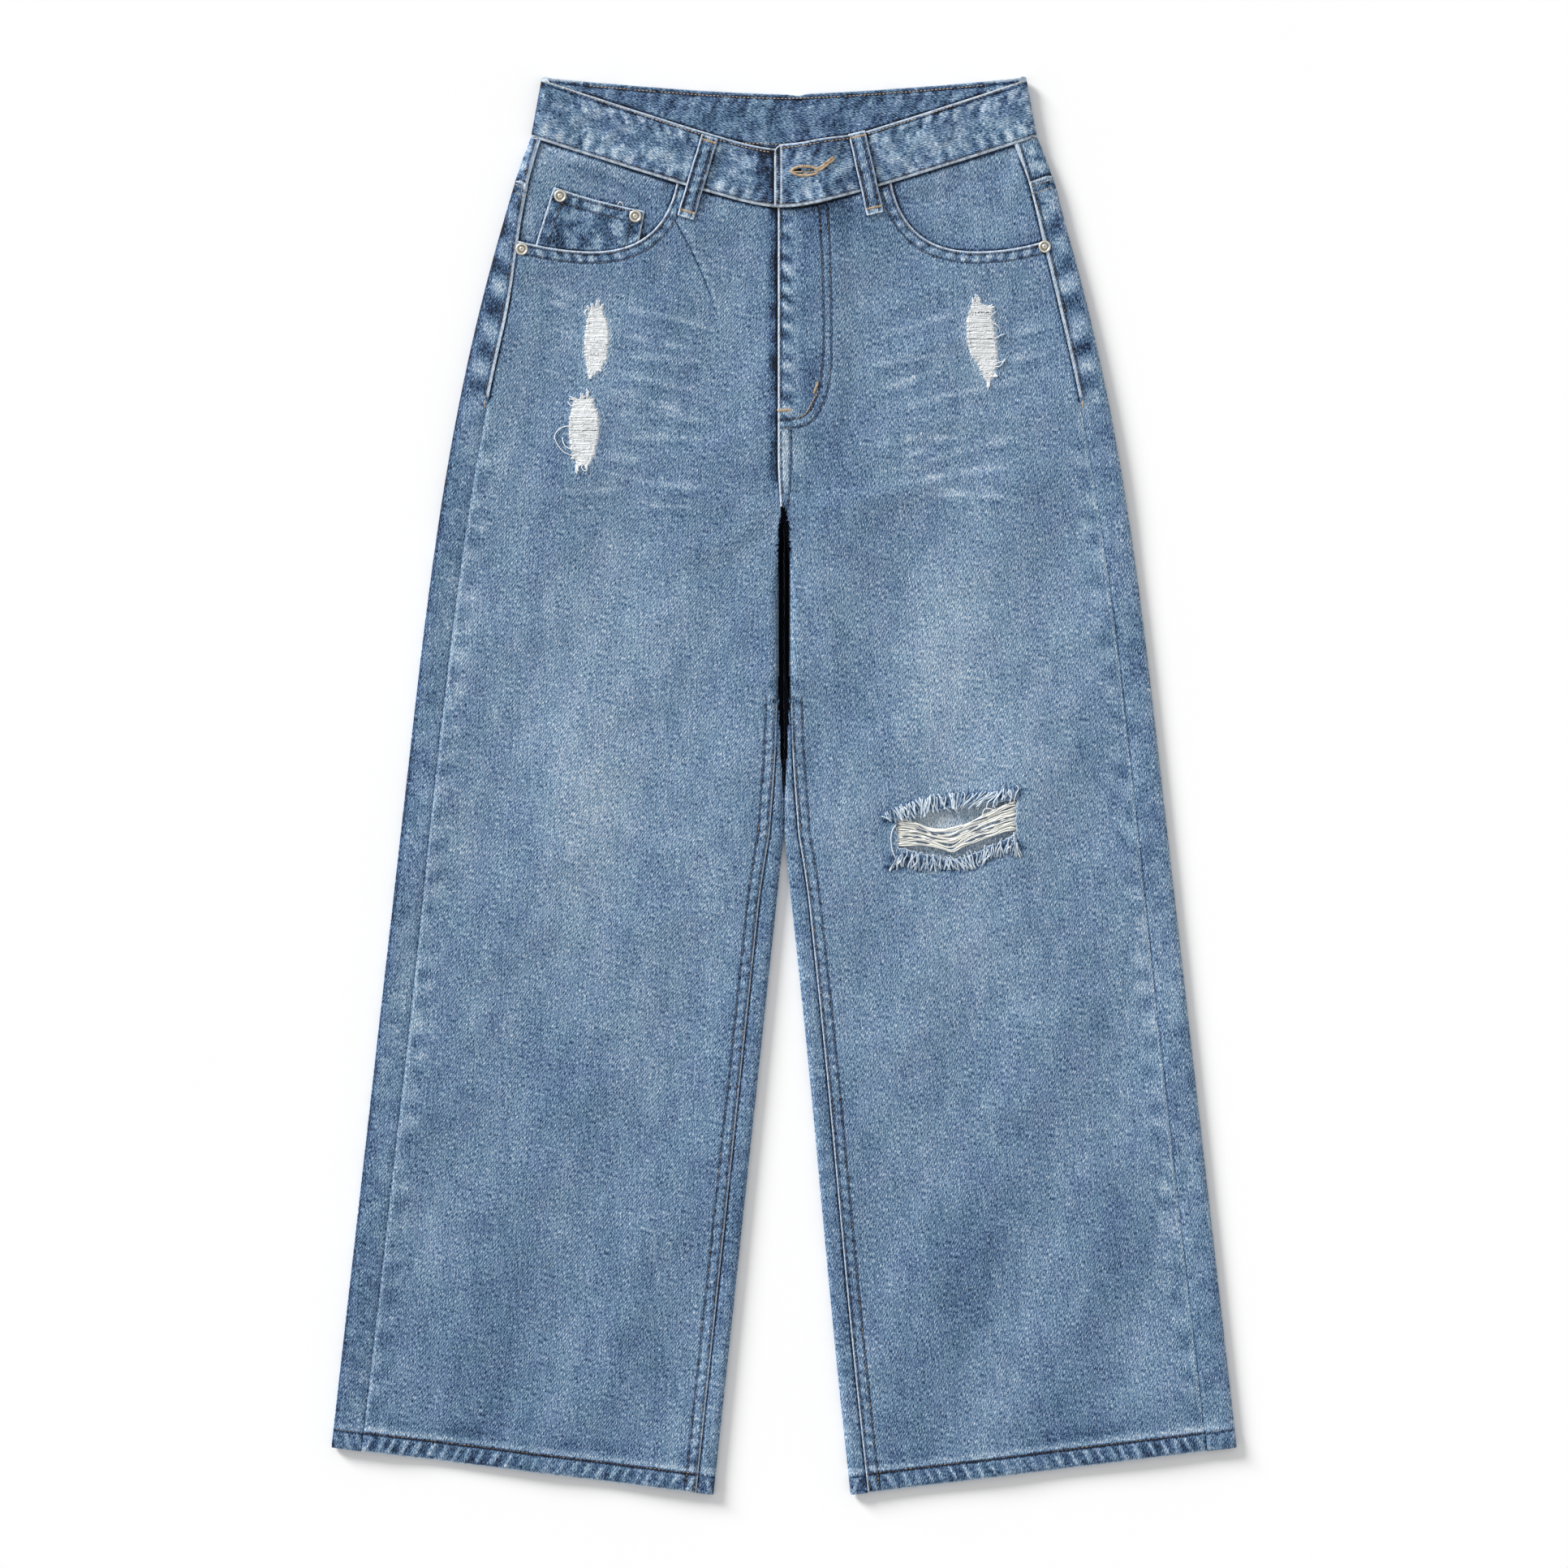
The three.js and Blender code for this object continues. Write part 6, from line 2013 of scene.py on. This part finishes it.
def kneeBundle():
    rnd = np.random.default_rng(211)
    top, low = curveOver(knee["bundleTop"], 60), curveOver(knee["bundleLow"], 60)
    t = linspace(0, 1, 40)
    paths, radii = [], []
    clumps = 6
    for n in range(knee["strands"]):
        share = (n + 0.5) / knee["strands"]
        clump = int(share * clumps)
        centre = (clump + 0.5) / clumps
        pinch = 0.1 + 0.75 * maximum(0, np.sin(2 * pi * (1.9 * t + clump * 0.37)))
        pinch = pinch * np.sin(pi * t) ** 0.6
        s = mix(share, centre, clip(pinch, 0, 0.8))
        s += 0.022 * np.sin(2 * pi * (t * rnd.uniform(2, 5) + rnd.random()))
        s += 0.03 * np.sin(2 * pi * (1.9 * t + clump * 0.61)) * np.sin(pi * t)
        s = clip(s, 0.0, 1.0)
        x = mix(80.6 + rnd.uniform(-1, 1), 167.0 + rnd.uniform(-0.8, 1.2), t)
        y = mix(interp(x, top[:, 0], top[:, 1]), interp(x, low[:, 0], low[:, 1]), s)
        wave = np.sin(2 * pi * (t * 1.5 + rnd.random())) * np.sin(pi * t)
        z = lie(x, y) - 0.75 + 0.35 * wave + 0.25 * rnd.normal()
        z += 0.5 * np.sin(pi * t) ** 0.3 - 0.6 * bell(t, 0, 0.03) - 0.6 * bell(1, t, 0.03)
        paths.append(c_[x, y, z])
        radii.append(rnd.uniform(0.38, 0.54) * (1 + 0.15 * np.sin(2 * pi * (t * 5 + rnd.random()))))
    tubes("kneeWeft", paths, array(radii), creamThread, ["rip_threads_knee"], sides=6)
    paths, radii = [], []
    for n in range(34):  # short blue warp ends on the bundle, dark to paint the shaded slits between its strands
        level = rnd.integers(1, clumps)
        start, long = rnd.uniform(0.04, 0.92), rnd.uniform(0.03, 0.085)
        t = linspace(start, min(start + long, 0.98), 8)
        x = mix(80.6, 167, t)
        s = level / clumps + 0.03 * np.sin(2 * pi * (1.9 * t + level * 0.61)) + rnd.normal(0, 0.012)
        y = mix(interp(x, top[:, 0], top[:, 1]), interp(x, low[:, 0], low[:, 1]), s)
        paths.append(c_[x, y, lie(x, y) + 0.15 + 0.1 * np.sin(pi * linspace(0, 1, 8))])
        radii.append(rnd.uniform(0.3, 0.5) * np.sin(pi * linspace(0.12, 0.88, 8)))
    tubes("kneeWarpEndsSlitShade", paths, array(radii), shadedSlitWarp, sides=6)


def kneeLip(name, node, lip, seed):
    # curly warp yarns from the sound cloth down to the opening
    rnd = np.random.default_rng(seed)
    root, tip = lipLines(lip)
    paths = {"Pale": [], "Blue": []}
    radii = {"Pale": [], "Blue": []}
    for n in range(lip["yarns"]):
        at = int(59 * (n + rnd.uniform(0.1, 0.9)) / lip["yarns"])
        to = int(clip(at + rnd.normal(1, 1.7), 0, 59))
        start, end = root[at] + rnd.normal(0, 0.7, 2), tip[to] + rnd.normal(0, 0.9, 2)
        way, long = end - start, float(hypot(*(end - start)))
        kind = "Pale" if rnd.random() < 0.72 else "Blue"
        if rnd.random() < 0.35:
            paths[kind].append(hoop(start, way, long * rnd.uniform(0.7, 1.0), rnd.uniform(2.4, 4.4)))
            radii[kind].append(rnd.uniform(0.42, 0.55) * ones(14))
        else:
            paths[kind].append(curl(rnd, start, way, long * rnd.uniform(0.8, 1.2), rnd.uniform(0.7, 1.7),
                                    rnd.uniform(0.45, 1.1), 1.0, 14))
            radii[kind].append(rnd.uniform(0.45, 0.62) * linspace(1, 0.65, 14))
    for kind, material, nodes in (("Pale", frayPale, [node]), ("Blue", blueThread, [])):
        tubes(name + kind, paths[kind], array(radii[kind]), material, nodes)


shadedSlitWarp = threadMaterial("dark warp painted as slit shade", ((44, 60, 86), (74, 94, 122), (112, 134, 160)), 3.0)
creamThread = threadMaterial("cream weft", ((222, 223, 216), (240, 240, 234), (252, 252, 248)), 3.0)
frayPale = threadMaterial("pale frayed yarn", ((168, 190, 212), (204, 218, 230), (238, 243, 248)), 3.0)
kneeBundle()
kneeLip("kneeFrayUpper", "fringe_knee_upper", kneeLips["Upper"], 221)
kneeLip("kneeFrayLower", "fringe_knee_lower", kneeLips["Lower"], 222)


# single threads that have come loose
strays = {
    "radius": 0.34,
    "lift": 0.35,
    "bow": 0.7,
    "lines": [
        [(80.5, -28), (78.2, -31.5), (76.9, -37), (77.4, -43), (78.3, -47.5), (80.4, -52.5),
         (78.6, -56), (75.6, -61)],
        [(165.4, -11), (166.5, -6.5), (168.6, -2), (167.2, 0.5)],
        [(165.2, -33), (165.8, -38), (167.2, -43.5), (170, -51.5)],
        [(142.4, -21.5), (144.2, -16.8), (147.5, -16.2), (152, -17.4)],
        [(-154, 259), (-160.4, 257.6), (-164.9, 252), (-162.8, 245.6), (-158, 240.1), (-151.6, 237.6),
         (-146, 239)],
        [(-159.5, 250.5), (-157.4, 244.6), (-151.6, 241.6), (-146.5, 240.4), (-143, 236)],
        [(-155.4, 276.4), (-153.4, 273.8), (-150.6, 273.2)],
        [(-141.8, 343), (-143.2, 340.4), (-141.6, 337.4)],
        [(149, 338.6), (152.4, 341.2)],
        [(150.6, 333), (153.2, 331.4), (155.4, 328.6)],
        [(151.6, 321.4), (154.6, 323.6), (158.8, 325.2)],
        [(151.4, 301.6), (155.1, 302), (157.5, 304.9), (159.4, 307.6)],
        [(151.8, 303.6), (154.8, 304.8), (158.6, 305.6)],
        [(-143.4, 230.6), (-141.2, 228.2), (-143.4, 226.6), (-145.6, 229.4), (-143, 232.4)],
        [(-119.6, 418.4), (-118.4, 420.2), (-116.4, 419.4), (-115.8, 417.6)],
    ],
}
paths = [curveOver(line, 24) for line in strays["lines"]]
bow = strays["lift"] + strays["bow"] * np.sin(pi * linspace(0, 1, 24))
paths = [c_[line, lie(line[:, 0], line[:, 1]) + bow] for line in paths]
tubes("looseThreads", paths, full((len(paths), 24), strays["radius"]), whiteThread)
print("rips")


# Floor, camera and light
studio = {
    "pictureWidth": 1130.2, "centre": (0.0, 1.5), "distance": 3300.0,
    "sun": 4.15, "sunAngle": 19, "sunHigh": 19.6, "sunFrom": 136, "sky": 0.562,
    "floorHalf": 3.0,  # metres
}


def stageAndCamera():
    mesh = bpy.data.meshes.new("floor")
    half = studio["floorHalf"]
    corners = [(x * half, y * half, 0) for x, y in ((-1, -1), (1, -1), (1, 1), (-1, 1))]
    mesh.from_pydata(corners, [], [(0, 1, 2, 3)])
    floor = place("floor", mesh)
    floor.location.z = -0.0002
    material, tree, shader = blank("pale floor")
    spot = tree.nodes.new("ShaderNodeTexCoord").outputs["Object"]
    shade = ramp(tree, noise(tree, spot, (3, 3)), [(0.3, (254, 254, 254)), (0.7, (255, 255, 255))])
    feed(tree, shader.inputs["Base Color"], shade)
    preset(shader, {"Roughness": 0.9, "Specular IOR Level": 0.1})
    mesh.materials.append(material)

    camera = bpy.data.cameras.new("camera")
    camera.sensor_width = 36
    camera.lens = 36 * studio["distance"] / studio["pictureWidth"]
    camera.clip_end = 50
    eye = place("camera", camera)
    eye.location = (studio["centre"][0] * mm, studio["centre"][1] * mm, studio["distance"] * mm)
    bpy.context.scene.camera = eye

    sun = bpy.data.lights.new("softSun", "SUN")
    sun.energy = studio["sun"]
    sun.angle = radians(studio["sunAngle"])
    lamp = place("softSun", sun)
    a, e = radians(studio["sunFrom"]), radians(studio["sunHigh"])
    towards = Vector((cos(a) * cos(e), sin(a) * cos(e), sin(e)))
    lamp.rotation_euler = towards.to_track_quat("Z", "Y").to_euler()

    world = bpy.data.worlds.new("studio")
    world.use_nodes = True
    preset(world.node_tree.nodes["Background"], {"Color": (1, 1, 1, 1), "Strength": studio["sky"]})
    bpy.context.scene.world = world
    bpy.context.scene.view_settings.view_transform = "Standard"


stageAndCamera()
